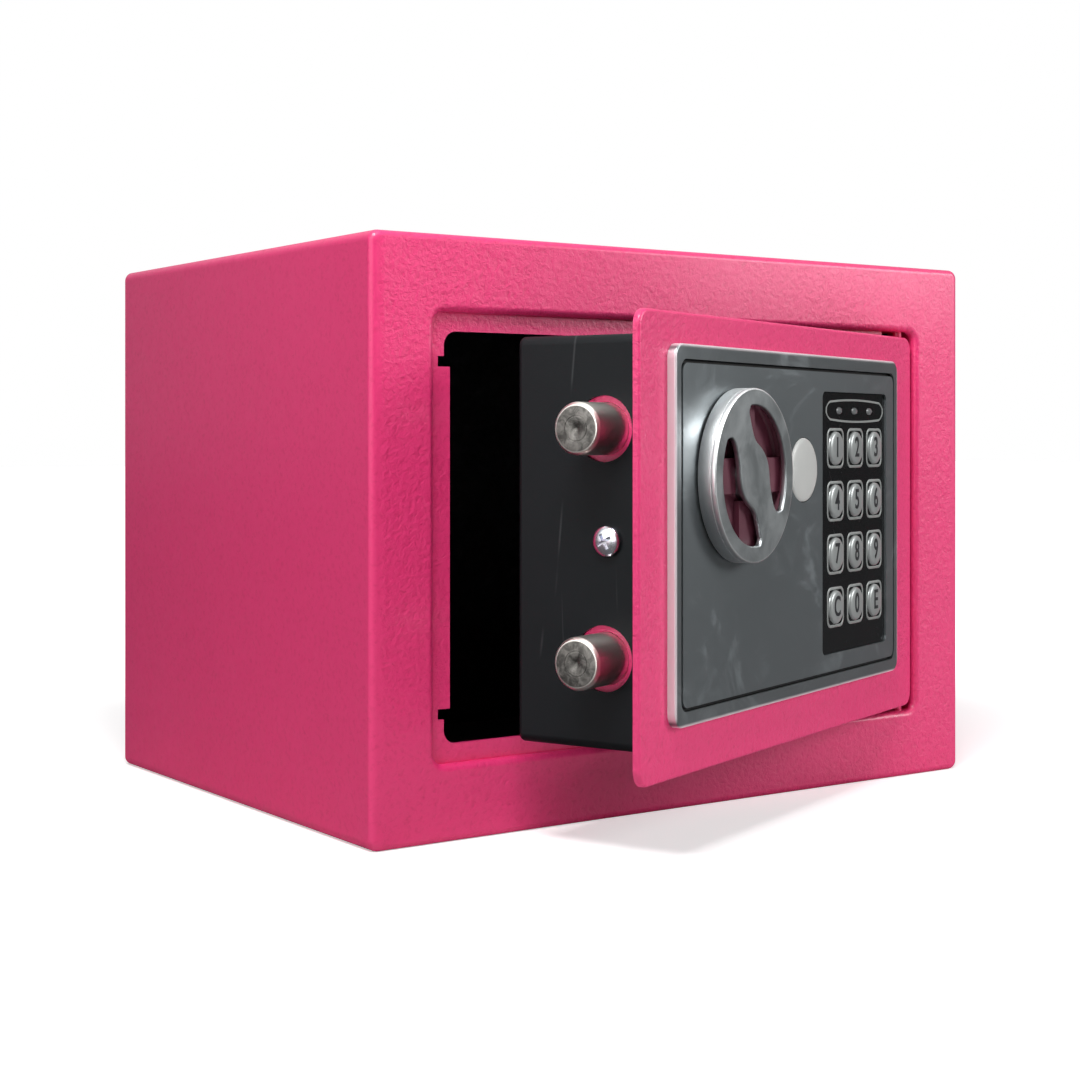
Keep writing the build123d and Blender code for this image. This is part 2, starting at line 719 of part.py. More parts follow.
nut_thickness = 5.0
neck_length = carriage + nut_thickness + 1.5
for name, height in zip(("bolt_lower", "bolt_upper"), bolt_heights):
    with BuildPart() as bolt:
        with BuildSketch(across(bolt_tip_x)):
            with Locations((bolt_y, height)):
                Circle(bolt_radius)
        extrude(amount=bolt_length)
        chamfer(bolt.faces().sort_by(Axis((0, 0, 0), across(0).z_dir))[0].edges(), bolt_chamfer)
        with BuildSketch(across(shoulder_x)):
            with Locations((bolt_y, height)):
                Circle(neck_radius)
        extrude(amount=neck_length)
    bolt.part.label = name
    export_step(bolt.part, f"parts/{name}.step")

with BuildPart() as bolt_nuts:
    with BuildSketch(across(shoulder_x + carriage)):
        with Locations([(bolt_y, z) for z in bolt_heights]):
            RegularPolygon(neck_radius + 2.5, 6, major_radius=False)
            Circle(neck_radius, mode=Mode.SUBTRACT)
    extrude(amount=nut_thickness)
bolt_nuts.part.label = "bolt_nuts"
export_step(bolt_nuts.part, "parts/bolt_nuts.step")

# ---- solenoid that holds the carriage ----
plunger_y = front_y + carriage_setback + carriage / 2
plunger_top = tab_low - 0.7
frame_top = 66.0
frame_low = 40.0
frame_width = 18.0
frame_reach = 20.0
coil_radius = 7.5
with BuildPart() as solenoid_frame:
    with BuildSketch(facing(plate)):
        with Locations((plunger_x, (frame_top + frame_low) / 2)):
            Rectangle(frame_width, frame_top - frame_low)
    extrude(amount=-frame_reach)
    with BuildSketch(facing(plate + sheet)):
        with Locations((plunger_x, (frame_top + frame_low) / 2)):
            Rectangle(frame_width, frame_top - frame_low - 2 * sheet)
    extrude(amount=-frame_reach, mode=Mode.SUBTRACT)
    with BuildSketch(level(frame_top)):
        with Locations((plunger_x, plunger_y)):
            Circle(plunger_radius + 0.2)
    extrude(amount=-sheet, mode=Mode.SUBTRACT)
solenoid_frame.part.label = "solenoid_frame"
export_step(solenoid_frame.part, "parts/solenoid_frame.step")

with BuildPart() as solenoid_coil:
    with BuildSketch(level(frame_low + sheet)):
        with Locations((plunger_x, plunger_y)):
            Circle(coil_radius)
            Circle(plunger_radius + 0.2, mode=Mode.SUBTRACT)
    extrude(amount=frame_top - frame_low - 2 * sheet)
solenoid_coil.part.label = "solenoid_coil"
export_step(solenoid_coil.part, "parts/solenoid_coil.step")

collar_z = 71.0
with BuildPart() as plunger:
    with BuildSketch(level(frame_low + 6)):
        with Locations((plunger_x, plunger_y)):
            Circle(plunger_radius)
    extrude(amount=plunger_top - frame_low - 6)
    with BuildSketch(level(collar_z)):
        with Locations((plunger_x, plunger_y)):
            Circle(plunger_radius + 2)
    extrude(amount=1)
plunger.part.label = "plunger"
export_step(plunger.part, "parts/plunger.step")

wire = 0.35
spring_radius = plunger_radius + 1.0
spring_low = frame_top + wire + 0.05
spring_height = collar_z - frame_top - 2 * wire - 0.1
spring_place = level(spring_low)
with BuildPart() as plunger_spring:
    with BuildLine(Plane(spring_place.location * Pos(plunger_x, plunger_y, 0))) as coil_path:
        Helix(pitch=spring_height / 4, height=spring_height, radius=spring_radius)
    with BuildSketch(Plane(origin=coil_path.line @ 0, z_dir=coil_path.line % 0)):
        Circle(wire)
    sweep()
plunger_spring.part.label = "plunger_spring"
export_step(plunger_spring.part, "parts/plunger_spring.step")

# ---- key lock behind its cap ----
body_back = 22.0
lock_flange = 0.9
with BuildPart() as key_lock_body:
    with BuildSketch(facing(-(panel_floor + lock_flange))):
        with Locations((lock_x, lock_z)):
            Circle(cap_radius - 0.2)
    extrude(amount=-lock_flange)
    with BuildSketch(facing(-panel_floor)):
        with Locations((lock_x, lock_z)):
            Circle(lock_radius)
    extrude(amount=-(panel_floor + body_back))
    with BuildSketch(facing(-(panel_floor + lock_flange))):
        with Locations((lock_x, lock_z)):
            Circle(plug_radius + plug_clearance)
    extrude(amount=-(panel_floor + lock_flange + body_back), mode=Mode.SUBTRACT)
key_lock_body.part.label = "key_lock_body"
export_step(key_lock_body.part, "parts/key_lock_body.step")

with BuildPart() as key_lock_nut:
    with BuildSketch(facing(plate)):
        with Locations((lock_x, lock_z)):
            RegularPolygon(lock_radius + 1.5, 6, major_radius=False, rotation=30)
            Circle(lock_radius, mode=Mode.SUBTRACT)
    extrude(amount=-3)
key_lock_nut.part.label = "key_lock_nut"
export_step(key_lock_nut.part, "parts/key_lock_nut.step")

lever_front = body_back + 0.3
lever = 1.8
tang_radius = 3.0
with BuildPart() as key_plug:
    with BuildSketch(facing(-(panel_floor + lock_flange))):
        with Locations((lock_x, lock_z)):
            Circle(plug_radius)
    extrude(amount=-(panel_floor + lock_flange + lever_front))
    with BuildSketch(facing(lever_front)):
        with Locations((lock_x, lock_z)):
            Circle(tang_radius)
    extrude(amount=-(lever + 1))
    with BuildSketch(facing(-(panel_floor + lock_flange))):
        with Locations((lock_x, lock_z)):
            Rectangle(1.3, 7)
    extrude(amount=-14, mode=Mode.SUBTRACT)
key_plug.part.label = "key_plug"
export_step(key_plug.part, "parts/key_plug.step")

lever_length = 15.0
with BuildPart() as key_lever:
    with BuildSketch(facing(lever_front)):
        with Locations((lock_x, lock_z)):
            Circle(tang_radius + 2.5)
        with Locations((lock_x, lock_z - lever_length)):
            Circle(3)
        make_hull()
        with Locations((lock_x, lock_z)):
            Circle(tang_radius, mode=Mode.SUBTRACT)
    extrude(amount=-lever)
key_lever.part.label = "key_lever"
export_step(key_lever.part, "parts/key_lever.step")

cap_front = panel_depth + 0.8
with BuildPart() as lock_cap:
    with BuildSketch(facing(-cap_front)):
        with Locations((lock_x, lock_z)):
            Circle(cap_radius)
    extrude(amount=-(cap_front - panel_floor - lock_flange - 0.1))
    fillet(lock_cap.faces().sort_by(outward)[-1].edges(), 0.4)
    with BuildSketch(facing(-(cap_front - 1))):
        with Locations((lock_x, lock_z)):
            Circle(cap_radius - 1.2)
    extrude(amount=-1, mode=Mode.SUBTRACT)
lock_cap.part.label = "lock_cap"
export_step(lock_cap.part, "parts/lock_cap.step")

# ---- lock cover ----
window_x = cover_left + 113.0
tray_length = cell_length + 2.8 + 2 * tray_wall
tray_pitch = 2 * cell_radius + cell_gap
tray_height = cell_count * tray_pitch + 2 * tray_wall
tray_z = 67.0
lid_width = tray_length + 0.2
lid_height = tray_height + 2.6
lid_front = cover_depth + lid_gap
lid_travel = 40.0
rail = 1.8
rail_x = lid_width / 2 + lid_gap + rail / 2
rail_low = tray_z - lid_height / 2 - lid_gap - rail
rail_high = tray_z + lid_height / 2 + lid_travel
rail_mid = (rail_low + rail_high) / 2
lip = 1.5
reset_x = plate_left + 92.0
reset_z = 125.0
reset_radius = 3.0
reset_travel = 1.2
inner_back = cover_depth - cover_wall
with BuildPart() as lock_cover:
    with BuildSketch(facing(plate)):
        with Locations(((cover_left + cover_right) / 2, mid_z)):
            RectangleRounded(cover_width, cover_height, cover_edge)
    extrude(amount=-(cover_depth - plate))
    fillet(lock_cover.faces().sort_by(outward)[0].edges(), 1.5)
    with BuildSketch(facing(plate)):
        with Locations(((cover_left + cover_right) / 2, mid_z)):
            RectangleRounded(
                cover_width - 2 * cover_wall, cover_height - 2 * cover_wall, cover_edge - cover_wall
            )
    extrude(amount=-(inner_back - plate), mode=Mode.SUBTRACT)
    with BuildSketch(facing(cover_depth)):
        with Locations((window_x, rail_mid)):
            with GridLocations(2 * rail_x, 1, 2, 1):
                Rectangle(rail, rail_high - rail_low)
        with Locations((window_x, rail_low + rail / 2)):
            Rectangle(2 * rail_x, rail)
    extrude(amount=-(lid + 2 * lid_gap))
    with BuildSketch(facing(lid_front + lid + lid_gap)):
        with Locations((window_x, rail_mid)):
            with GridLocations(2 * rail_x - lip, 1, 2, 1):
                Rectangle(rail + lip, rail_high - rail_low)
    extrude(amount=-0.8)
    with BuildSketch(facing(inner_back)):
        with Locations((window_x, tray_z)):
            Rectangle(tray_length - 2 * tray_wall, tray_height - 2 * tray_wall)
        with Locations((reset_x, reset_z)):
            Circle(reset_radius + 0.2)
    extrude(amount=-cover_wall, mode=Mode.SUBTRACT)
    with BuildSketch(across(cover_left)):
        with Locations([(bolt_y, z) for z in bolt_heights]):
            Circle(bolt_hole)
    extrude(amount=cover_wall, mode=Mode.SUBTRACT)
    with BuildSketch(across(cover_left)):
        with Locations((front_y + screw_setback, screw_height)):
            Circle(screw_radius)
    extrude(amount=cover_width, mode=Mode.SUBTRACT)
lock_cover.part.label = "lock_cover"
export_step(lock_cover.part, "parts/lock_cover.step")

bracket_right = cover_right - cover_wall
with BuildPart() as cover_bracket:
    with BuildSketch(across(bracket_right - sheet)):
        with Locations((front_y + plate + 12.5, screw_height)):
            RectangleRounded(25, 16, 1.4)
    extrude(amount=sheet)
    with BuildSketch(facing(plate)):
        with Locations((bracket_right - 2.4, screw_height)):
            Rectangle(4.8, 16)
    extrude(amount=-sheet)
    with BuildSketch(across(bracket_right - sheet)):
        with Locations((front_y + screw_setback, screw_height)):
            Circle(screw_radius)
    extrude(amount=sheet, mode=Mode.SUBTRACT)
cover_bracket.part.label = "cover_bracket"
export_step(cover_bracket.part, "parts/cover_bracket.step")

head_radius = 4.35
head = 2.4
screw_length = 8.0
with BuildPart() as cover_screws:
    for side_x, inwards in ((cover_left, 1), (cover_right, -1)):
        with BuildSketch(across(side_x)):
            with Locations((front_y + screw_setback, screw_height)):
                Circle(screw_radius)
        extrude(amount=inwards * screw_length)
        with BuildSketch(across(side_x)):
            with Locations((front_y + screw_setback, screw_height)):
                Circle(head_radius)
        extrude(amount=-inwards * head)
        with BuildSketch(across(side_x - inwards * head)):
            with Locations((front_y + screw_setback, screw_height)):
                Rectangle(5, 1.1)
                Rectangle(1.1, 5)
        extrude(amount=inwards * 1.4, mode=Mode.SUBTRACT)
cover_screws.part.label = "cover_screws"
export_step(cover_screws.part, "parts/cover_screws.step")

# ---- batteries ----
cell_depth = inner_back - cell_radius - 1.5
cell_heights = [tray_z + (i - (cell_count - 1) / 2) * tray_pitch for i in range(cell_count)]
tray_front = cell_depth - cell_radius - 0.5 - tray_wall
with BuildPart() as battery_tray:
    with BuildSketch(facing(tray_front)):
        with Locations((window_x, tray_z)):
            Rectangle(tray_length, tray_height)
    extrude(amount=-(inner_back - 0.1 - tray_front))
    with BuildSketch(facing(tray_front + tray_wall)):
        with Locations((window_x, tray_z)):
            Rectangle(tray_length - 2 * tray_wall, tray_height - 2 * tray_wall)
    extrude(amount=-inner_back, mode=Mode.SUBTRACT)
battery_tray.part.label = "battery_tray"
export_step(battery_tray.part, "parts/battery_tray.step")

nub = 1.2
with BuildPart() as batteries:
    for i, height in enumerate(cell_heights):
        nub_end = (-1) ** i
        with BuildSketch(across(window_x - nub_end * cell_length / 2)):
            with Locations((front_y + cell_depth, height)):
                Circle(cell_radius)
        extrude(amount=nub_end * (cell_length - nub))
        with BuildSketch(across(window_x + nub_end * cell_length / 2)):
            with Locations((front_y + cell_depth, height)):
                Circle(2.75)
        extrude(amount=-nub_end * nub)
batteries.part.label = "batteries"
export_step(batteries.part, "parts/batteries.step")

contact = 0.5
contact_x = cell_length / 2 + 1.0
with BuildPart() as battery_contacts:
    for side in (-1, 1):
        with BuildSketch(across(window_x + side * contact_x - contact / 2)):
            with Locations([(front_y + cell_depth, z) for z in cell_heights]):
                Rectangle(10, 9)
        extrude(amount=contact)
battery_contacts.part.label = "battery_contacts"
export_step(battery_contacts.part, "parts/battery_contacts.step")

with BuildPart() as battery_lid:
    with BuildSketch(facing(lid_front)):
        with Locations((window_x, tray_z)):
            Rectangle(lid_width, lid_height)
    extrude(amount=-lid)
    # thumb ridges near the top
    with BuildSketch(facing(lid_front + lid)):
        with Locations((window_x, tray_z + lid_height / 2 - 8)):
            with GridLocations(1, 3, 1, 4):
                Rectangle(18, 1.2)
    extrude(amount=-0.7)
battery_lid.part.label = "battery_lid"
export_step(battery_lid.part, "parts/battery_lid.step")

# ---- code reset ----
button_flange = 1.0
button_back = cover_depth + 2.0
flange_start = inner_back - 0.5 - button_flange
switch_back = flange_start - reset_travel - 0.3
with BuildPart() as reset_button:
    with BuildSketch(facing(flange_start)):
        with Locations((reset_x, reset_z)):
            Circle(reset_radius + 1.5)
    extrude(amount=-button_flange)
    with BuildSketch(facing(flange_start)):
        with Locations((reset_x, reset_z)):
            Circle(reset_radius)
    extrude(amount=-(button_back - flange_start))
reset_button.part.label = "reset_button"
export_step(reset_button.part, "parts/reset_button.step")

with BuildPart() as reset_switch:
    with BuildSketch(facing(switch_back)):
        with Locations((reset_x, reset_z)):
            Rectangle(18, 12)
    extrude(amount=6)
    with BuildSketch(facing(switch_back)):
        with Locations((reset_x, reset_z)):
            with GridLocations(14, 1, 2, 1):
                Circle(1.5)
    extrude(amount=-(inner_back - switch_back))
reset_switch.part.label = "reset_switch"
export_step(reset_switch.part, "parts/reset_switch.step")
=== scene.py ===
import json
import math

import bmesh
import bpy
from mathutils import Matrix, Vector


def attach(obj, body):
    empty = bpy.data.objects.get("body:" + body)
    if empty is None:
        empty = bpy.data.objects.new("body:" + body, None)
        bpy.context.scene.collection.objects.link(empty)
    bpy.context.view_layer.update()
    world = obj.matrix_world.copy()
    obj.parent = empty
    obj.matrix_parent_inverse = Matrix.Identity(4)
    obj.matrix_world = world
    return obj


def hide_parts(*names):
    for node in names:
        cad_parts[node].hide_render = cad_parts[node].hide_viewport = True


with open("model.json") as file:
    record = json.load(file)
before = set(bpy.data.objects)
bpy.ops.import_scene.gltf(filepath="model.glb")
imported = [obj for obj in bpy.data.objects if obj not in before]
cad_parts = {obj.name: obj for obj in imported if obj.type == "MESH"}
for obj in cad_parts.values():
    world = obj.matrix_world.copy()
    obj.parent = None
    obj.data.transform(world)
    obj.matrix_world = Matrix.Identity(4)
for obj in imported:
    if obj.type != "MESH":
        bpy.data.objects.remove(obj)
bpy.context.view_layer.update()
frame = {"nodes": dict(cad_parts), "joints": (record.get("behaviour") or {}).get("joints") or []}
print("frame loaded:", len(frame["nodes"]), "nodes")

# the door's own directions, taken from its joints
joints = {joint["name"]: joint for joint in frame["joints"]}
hingeLine = Vector(joints["door_hinge"]["pos_m"])
inward = Vector(joints["knob_turn"]["axis"])
up = Vector((0, 0, 1))
outward = -inward
along = up.cross(outward)
doorPlace = Matrix((along, up, outward)).transposed().to_4x4()
doorPlace.translation = (hingeLine.x, hingeLine.y, 0)
mm = 0.001


def doorBox(node):
    # a node's extent in the door's own directions: along its width, up, and outwards
    back = doorPlace.inverted()
    points = [back @ v.co for v in frame["nodes"][node].data.vertices]
    low = Vector(min(p[i] for p in points) for i in range(3))
    high = Vector(max(p[i] for p in points) for i in range(3))
    return low, high


def doorCentre(node):
    low, high = doorBox(node)
    return (low + high) / 2


class Socket:
    # a node's output that can be added, multiplied and so on, which adds the Math nodes
    def __init__(self, graph, socket):
        self.graph = graph
        self.socket = socket

    def maths(self, operation, *values):
        return self.graph.add("ShaderNodeMath", {"operation": operation}, values)

    def __add__(self, other):
        return self.maths("ADD", self, other)

    def __radd__(self, other):
        return self.maths("ADD", other, self)

    def __sub__(self, other):
        return self.maths("SUBTRACT", self, other)

    def __rsub__(self, other):
        return self.maths("SUBTRACT", other, self)

    def __mul__(self, other):
        return self.maths("MULTIPLY", self, other)

    def __rmul__(self, other):
        return self.maths("MULTIPLY", other, self)

    def __truediv__(self, other):
        return self.maths("DIVIDE", self, other)

    def __abs__(self):
        return self.maths("ABSOLUTE", self)

    def least(self, other):
        return self.maths("MINIMUM", self, other)

    def most(self, other):
        return self.maths("MAXIMUM", self, other)

    def root(self):
        return self.maths("SQRT", self)

    def sine(self):
        return self.maths("SINE", self)


class Graph:
    # a node tree and the one method that adds any node to it
    def __init__(self, tree):
        self.tree = tree

    def add(self, kind, settings=None, values=None, output=0):
        node = self.tree.nodes.new(kind)
        for key, value in (settings or {}).items():
            setattr(node, key, value)
        pairs = values.items() if isinstance(values, dict) else enumerate(values or [])
        for key, value in pairs:
            if isinstance(value, Socket):
                self.tree.links.new(value.socket, node.inputs[key])
            elif value is not None:
                node.inputs[key].default_value = value
        return Socket(self, node.outputs[output])


class Finish(Graph):
    # one material: constants go on the shader's own sockets, what varies goes through feed
    def __init__(self, name, **constants):
        self.material = bpy.data.materials.new(name)
        self.material.use_nodes = True
        super().__init__(self.material.node_tree)
        self.shader = self.tree.nodes["Principled BSDF"]
        for key, value in constants.items():
            self.shader.inputs[key.replace("_", " ")].default_value = value
        self.coords = self.add("ShaderNodeTexCoord", output="Object")

    def placed(self, centre=(0, 0, 0), stretch=(1, 1, 1), turn=(0, 0, 0)):
        # coordinates from a centre, then turned and stretched
        shifted = self.add("ShaderNodeVectorMath", {"operation": "SUBTRACT"}, [self.coords, tuple(centre)])
        return self.add("ShaderNodeMapping", None, {"Vector": shifted, "Rotation": turn, "Scale": stretch})

    def split(self, vector):
        node = self.tree.nodes.new("ShaderNodeSeparateXYZ")
        self.tree.links.new(vector.socket, node.inputs[0])
        return [Socket(self, output) for output in node.outputs]

    def noise(self, scale, detail=2.0, rough=0.5, bend=0.0, vector=None):
        values = {"Vector": vector or self.coords, "Scale": scale, "Detail": detail}
        values.update({"Roughness": rough, "Distortion": bend})
        return self.add("ShaderNodeTexNoise", None, values)

    def cells(self, scale, feature="F1", vector=None, smooth=0.0):
        values = {"Vector": vector or self.coords, "Scale": scale}
        if feature == "SMOOTH_F1":
            values["Smoothness"] = smooth
        return self.add("ShaderNodeTexVoronoi", {"feature": feature}, values)

    def smooth(self, value, low, high, start=0.0, end=1.0):
        values = {"Value": value, "From Min": low, "From Max": high, "To Min": start, "To Max": end}
        return self.add("ShaderNodeMapRange", {"interpolation_type": "SMOOTHSTEP"}, values)

    def blend(self, first, second, share):
        colours = [(*c, 1) if isinstance(c, tuple) else c for c in (first, second)]
        values = {0: share, 6: colours[0], 7: colours[1]}
        return self.add("ShaderNodeMix", {"data_type": "RGBA"}, values, output=2)

    def bump(self, height, depth, normal=None):
        values = {"Height": height, "Strength": 1.0, "Distance": depth, "Normal": normal}
        return self.add("ShaderNodeBump", None, values)

    def feed(self, **links):
        for key, value in links.items():
            self.tree.links.new(value.socket, self.shader.inputs[key.replace("_", " ")])
        return self.material


# materials
def powderCoat():
    # leathery on the front frame, fading towards its left and right edges, calmer on the sheet behind it
    look = {
        "pink": (0.78, 0.033, 0.175), "deep": (0.68, 0.023, 0.138), "lift": (0.84, 0.044, 0.200),
        "grain": 560.0, "ridge": 820.0, "fine": 2600.0, "warp": 0.003,
        "grainDepth": 0.00032, "fineDepth": 0.00004, "halfWidth": 0.115, "frameBack": -0.081,
    }
    paint = Finish("powderCoat", Specular_IOR_Level=0.5, Coat_Weight=0.4, Coat_Roughness=0.20)
    warp = paint.noise(260, 3, 0.6)
    warped = [warp, (look["warp"],) * 3, paint.coords]
    bent = paint.add("ShaderNodeVectorMath", {"operation": "MULTIPLY_ADD"}, warped)
    pebble = paint.cells(look["grain"], "SMOOTH_F1", bent, 0.6)
    ridge = paint.noise(look["ridge"], 4, 0.55, 0.8, bent)
    fine = paint.noise(look["fine"], 2, 0.5)
    patch = paint.smooth(paint.noise(16, 2, 0.6), 0.35, 0.65)
    x, y, z = paint.split(paint.coords)
    edge = paint.smooth(look["halfWidth"] - abs(x), 0.0015, 0.0045)
    sheetSide = paint.smooth(y, look["frameBack"] - 0.0015, look["frameBack"] + 0.001)
    strength = (0.45 + 0.55 * patch) * edge * (1 - 0.75 * sheetSide)
    grain = (pebble * 0.6 + ridge) * strength
    # painted shade and highlight: the low ground of the grain is painted deeper pink and its ridges and pebble
    # tops lighter, standing in for light on the grain
    body = paint.blend(look["deep"], look["pink"], paint.smooth(ridge + pebble * 0.4, 0.30, 0.75))
    body = paint.blend(body, look["lift"], paint.smooth(paint.noise(7, 3, 0.5), 0.45, 0.8) * 0.35)
    normal = paint.bump(grain, look["grainDepth"])
    normal = paint.bump(fine, look["fineDepth"], normal)
    rough = 0.36 + 0.16 * paint.noise(300, 2, 0.5) + 0.05 * fine
    return paint.feed(Base_Color=body, Roughness=rough, Normal=normal)


def satinBlack():
    # near black with a few fine scratches in three directions
    look = {
        "black": (0.0042, 0.0058, 0.0070), "worn": (0.010, 0.012, 0.014), "scratch": (0.075, 0.08, 0.083),
        "lanes": ((0.24, 46.0, 0.4), (-0.19, 33.0, 2.1), (1.1, 27.0, 5.3)),  # turn, scale and seed of each
        "fineDepth": 0.00002, "waveDepth": 0.00010,
    }
    paint = Finish("satinBlack", Specular_IOR_Level=0.16)
    cloud = paint.smooth(paint.noise(38, 4, 0.6), 0.35, 0.75)
    body = paint.blend(look["black"], look["worn"], cloud * 0.22)
    scratches = None
    for turn, scale, seed in look["lanes"]:
        lane = paint.placed((0, 0, seed * 0.1), (1, 1, 0.07), (turn, 0, 0))
        line = paint.cells(scale, "DISTANCE_TO_EDGE", lane)
        gate = paint.smooth(paint.noise(24, 2, 0.5, 0.0, paint.placed((seed, 0, 0))), 0.56, 0.66)
        mark = (1 - paint.smooth(line, 0.0, 0.008)) * gate
        scratches = mark if scratches is None else scratches.most(mark)
    body = paint.blend(body, look["scratch"], scratches * 0.4)
    fine = paint.noise(1900, 2, 0.5)
    rough = 0.40 + 0.12 * cloud + 0.06 * fine
    normal = paint.bump(fine, look["fineDepth"])
    normal = paint.bump(paint.noise(60, 2, 0.4), look["waveDepth"], normal)
    return paint.feed(Base_Color=body, Roughness=rough, Normal=normal)


def blackFelt():
    look = {
        "pit": (0.014, 0.013, 0.018), "pile": (0.050, 0.045, 0.056), "fibre": (0.10, 0.09, 0.11),
        "depth": 0.0006,
    }
    felt = Finish("blackFelt", Sheen_Weight=0.25, Sheen_Roughness=0.6, Specular_IOR_Level=0.15)
    fibre = felt.noise(1500, 4, 0.7, 1.2)
    tuft = felt.noise(170, 4, 0.65, 0.5)
    wide = felt.noise(28, 3, 0.5)
    shade = felt.smooth(tuft * 0.6 + wide * 0.4, 0.35, 0.68)
    body = felt.blend(look["pit"], look["pile"], shade)
    body = felt.blend(body, look["fibre"], felt.smooth(fibre, 0.60, 0.80) * 0.5)
    normal = felt.bump(fibre * 0.5 + tuft, look["depth"])
    return felt.feed(Base_Color=body, Roughness=0.88 + 0.1 * fibre, Normal=normal)


def satinSilver(name, node, dark, rough, brightEdge):
    # the front panel: fine grain, wiped smudges, a few faint nicks, painted shade near black down in the
    # groove, and on the bezel a painted highlight along its edges
    look = {
        "edge": 0.0011, "rimWide": 0.0028, "groove": 0.0009, "grainDepth": 0.000008, "nick": (0.55, 0.56, 0.57),
        "paintedEdgeHighlight": (0.76, 0.68, 0.71), "paintedGrooveShade": (0.004, 0.004, 0.0045),
    }
    low, high = doorBox(node)
    centre = doorPlace @ ((low + high) / 2)
    metal = Finish(name, Coat_Weight=0.12, Coat_Roughness=0.25)
    x, y, z = metal.split(metal.placed(centre))
    reach = x * along.x + y * along.y
    depth = x * outward.x + y * outward.y
    halfWide, halfHigh, halfDeep = (high - low) / 2
    grain = metal.noise(900, 3, 0.6, 0.0, metal.placed(centre, (1, 1, 6)))
    wipe = metal.noise(34, 5, 0.62, 1.6, metal.placed(centre, (1, 1, 1.8), (0, 0.5, 0)))
    smudge = metal.smooth(wipe, 0.50, 0.72)
    drift = metal.noise(9, 2, 0.5)
    lighter = tuple(min(1, c * 1.5) for c in dark)
    body = metal.blend(dark, lighter, smudge * 0.5 + drift * 0.25)
    nick = 1 - metal.smooth(metal.cells(150, "F1"), 0.0, 0.035)
    nick = nick * metal.smooth(metal.noise(45, 1), 0.55, 0.7)
    body = metal.blend(body, look["nick"], nick * 0.6)
    fromEdge = (halfWide - abs(reach)).least(halfHigh - abs(z))
    # painted highlight: for the bezel a pinkish white band is painted along the face's edges, with less metal
    # there, standing in for light and the pink door's reflection caught on them
    shine = metal.smooth(fromEdge, 0.0002, look["edge"], 1.0, 0.0) * brightEdge
    body = metal.blend(body, look["paintedEdgeHighlight"], shine)
    # painted shade: all but the front millimetre, down into the groove, is painted near black and rough with
    # its metal taken away, for the shade there
    sunk = metal.smooth(depth, halfDeep - look["groove"], halfDeep - 0.0003, 1.0, 0.0)
    if brightEdge:
        sunk = sunk * metal.smooth(fromEdge, look["rimWide"] - 0.0003, look["rimWide"])
    body = metal.blend(body, look["paintedGrooveShade"], sunk)
    roughness = rough + 0.10 * smudge + 0.07 * grain + 0.05 * drift + 0.3 * sunk
    normal = metal.bump(grain, look["grainDepth"])
    metallic = (0.86 - 0.55 * shine) * (1 - sunk)
    return metal.feed(Base_Color=body, Roughness=roughness, Metallic=metallic, Normal=normal)


def brushedChrome(node):
    # plated knob: turned marks about its axis, soft cloudiness, tiny pits, and a wall and rim painted near
    # white as a painted highlight
    look = {
        "face": (0.44, 0.475, 0.485), "cloud": (0.62, 0.655, 0.665), "wall": (0.97, 0.98, 0.985),
        "pit": (0.88, 0.89, 0.90), "rim": 0.0007, "turnedDepth": 0.0000045, "waveDepth": 0.000025,
    }
    low, high = doorBox(node)
    centre = doorPlace @ ((low + high) / 2)
    half = (high.y - low.y) / 2
    metal = Finish("brushedChrome", Metallic=1.0)
    x, y, z = metal.split(metal.placed(centre))
    reach = x * along.x + y * along.y
    radius = (reach * reach + z * z).root()
    lathed = metal.add("ShaderNodeCombineXYZ", None, [radius * 3200, z * 300, 0.0])
    turned = metal.noise(1, 2, 0.5, 0.0, lathed)
    cloud = metal.noise(95, 5, 0.65, 0.7)
    speck = 1 - metal.smooth(metal.cells(330, "F1"), 0.02, 0.10)
    dents = speck * metal.smooth(metal.noise(120, 2), 0.55, 0.68)
    # painted highlight: the side wall and the face's outer edge are painted near white, far lighter than the
    # face, for the light they catch
    wall = metal.smooth(radius, half - look["rim"], half - 0.0002)
    body = metal.blend(look["face"], look["cloud"], metal.smooth(cloud, 0.3, 0.7))
    body = metal.blend(body, look["pit"], dents * 0.7)
    body = metal.blend(body, look["wall"], wall)
    rough = 0.25 + 0.13 * cloud + 0.06 * turned + 0.06 * wall
    normal = metal.bump(turned, look["turnedDepth"])
    normal = metal.bump(metal.noise(420, 3, 0.6), look["waveDepth"], normal)
    return metal.feed(Base_Color=body, Roughness=rough, Normal=normal)


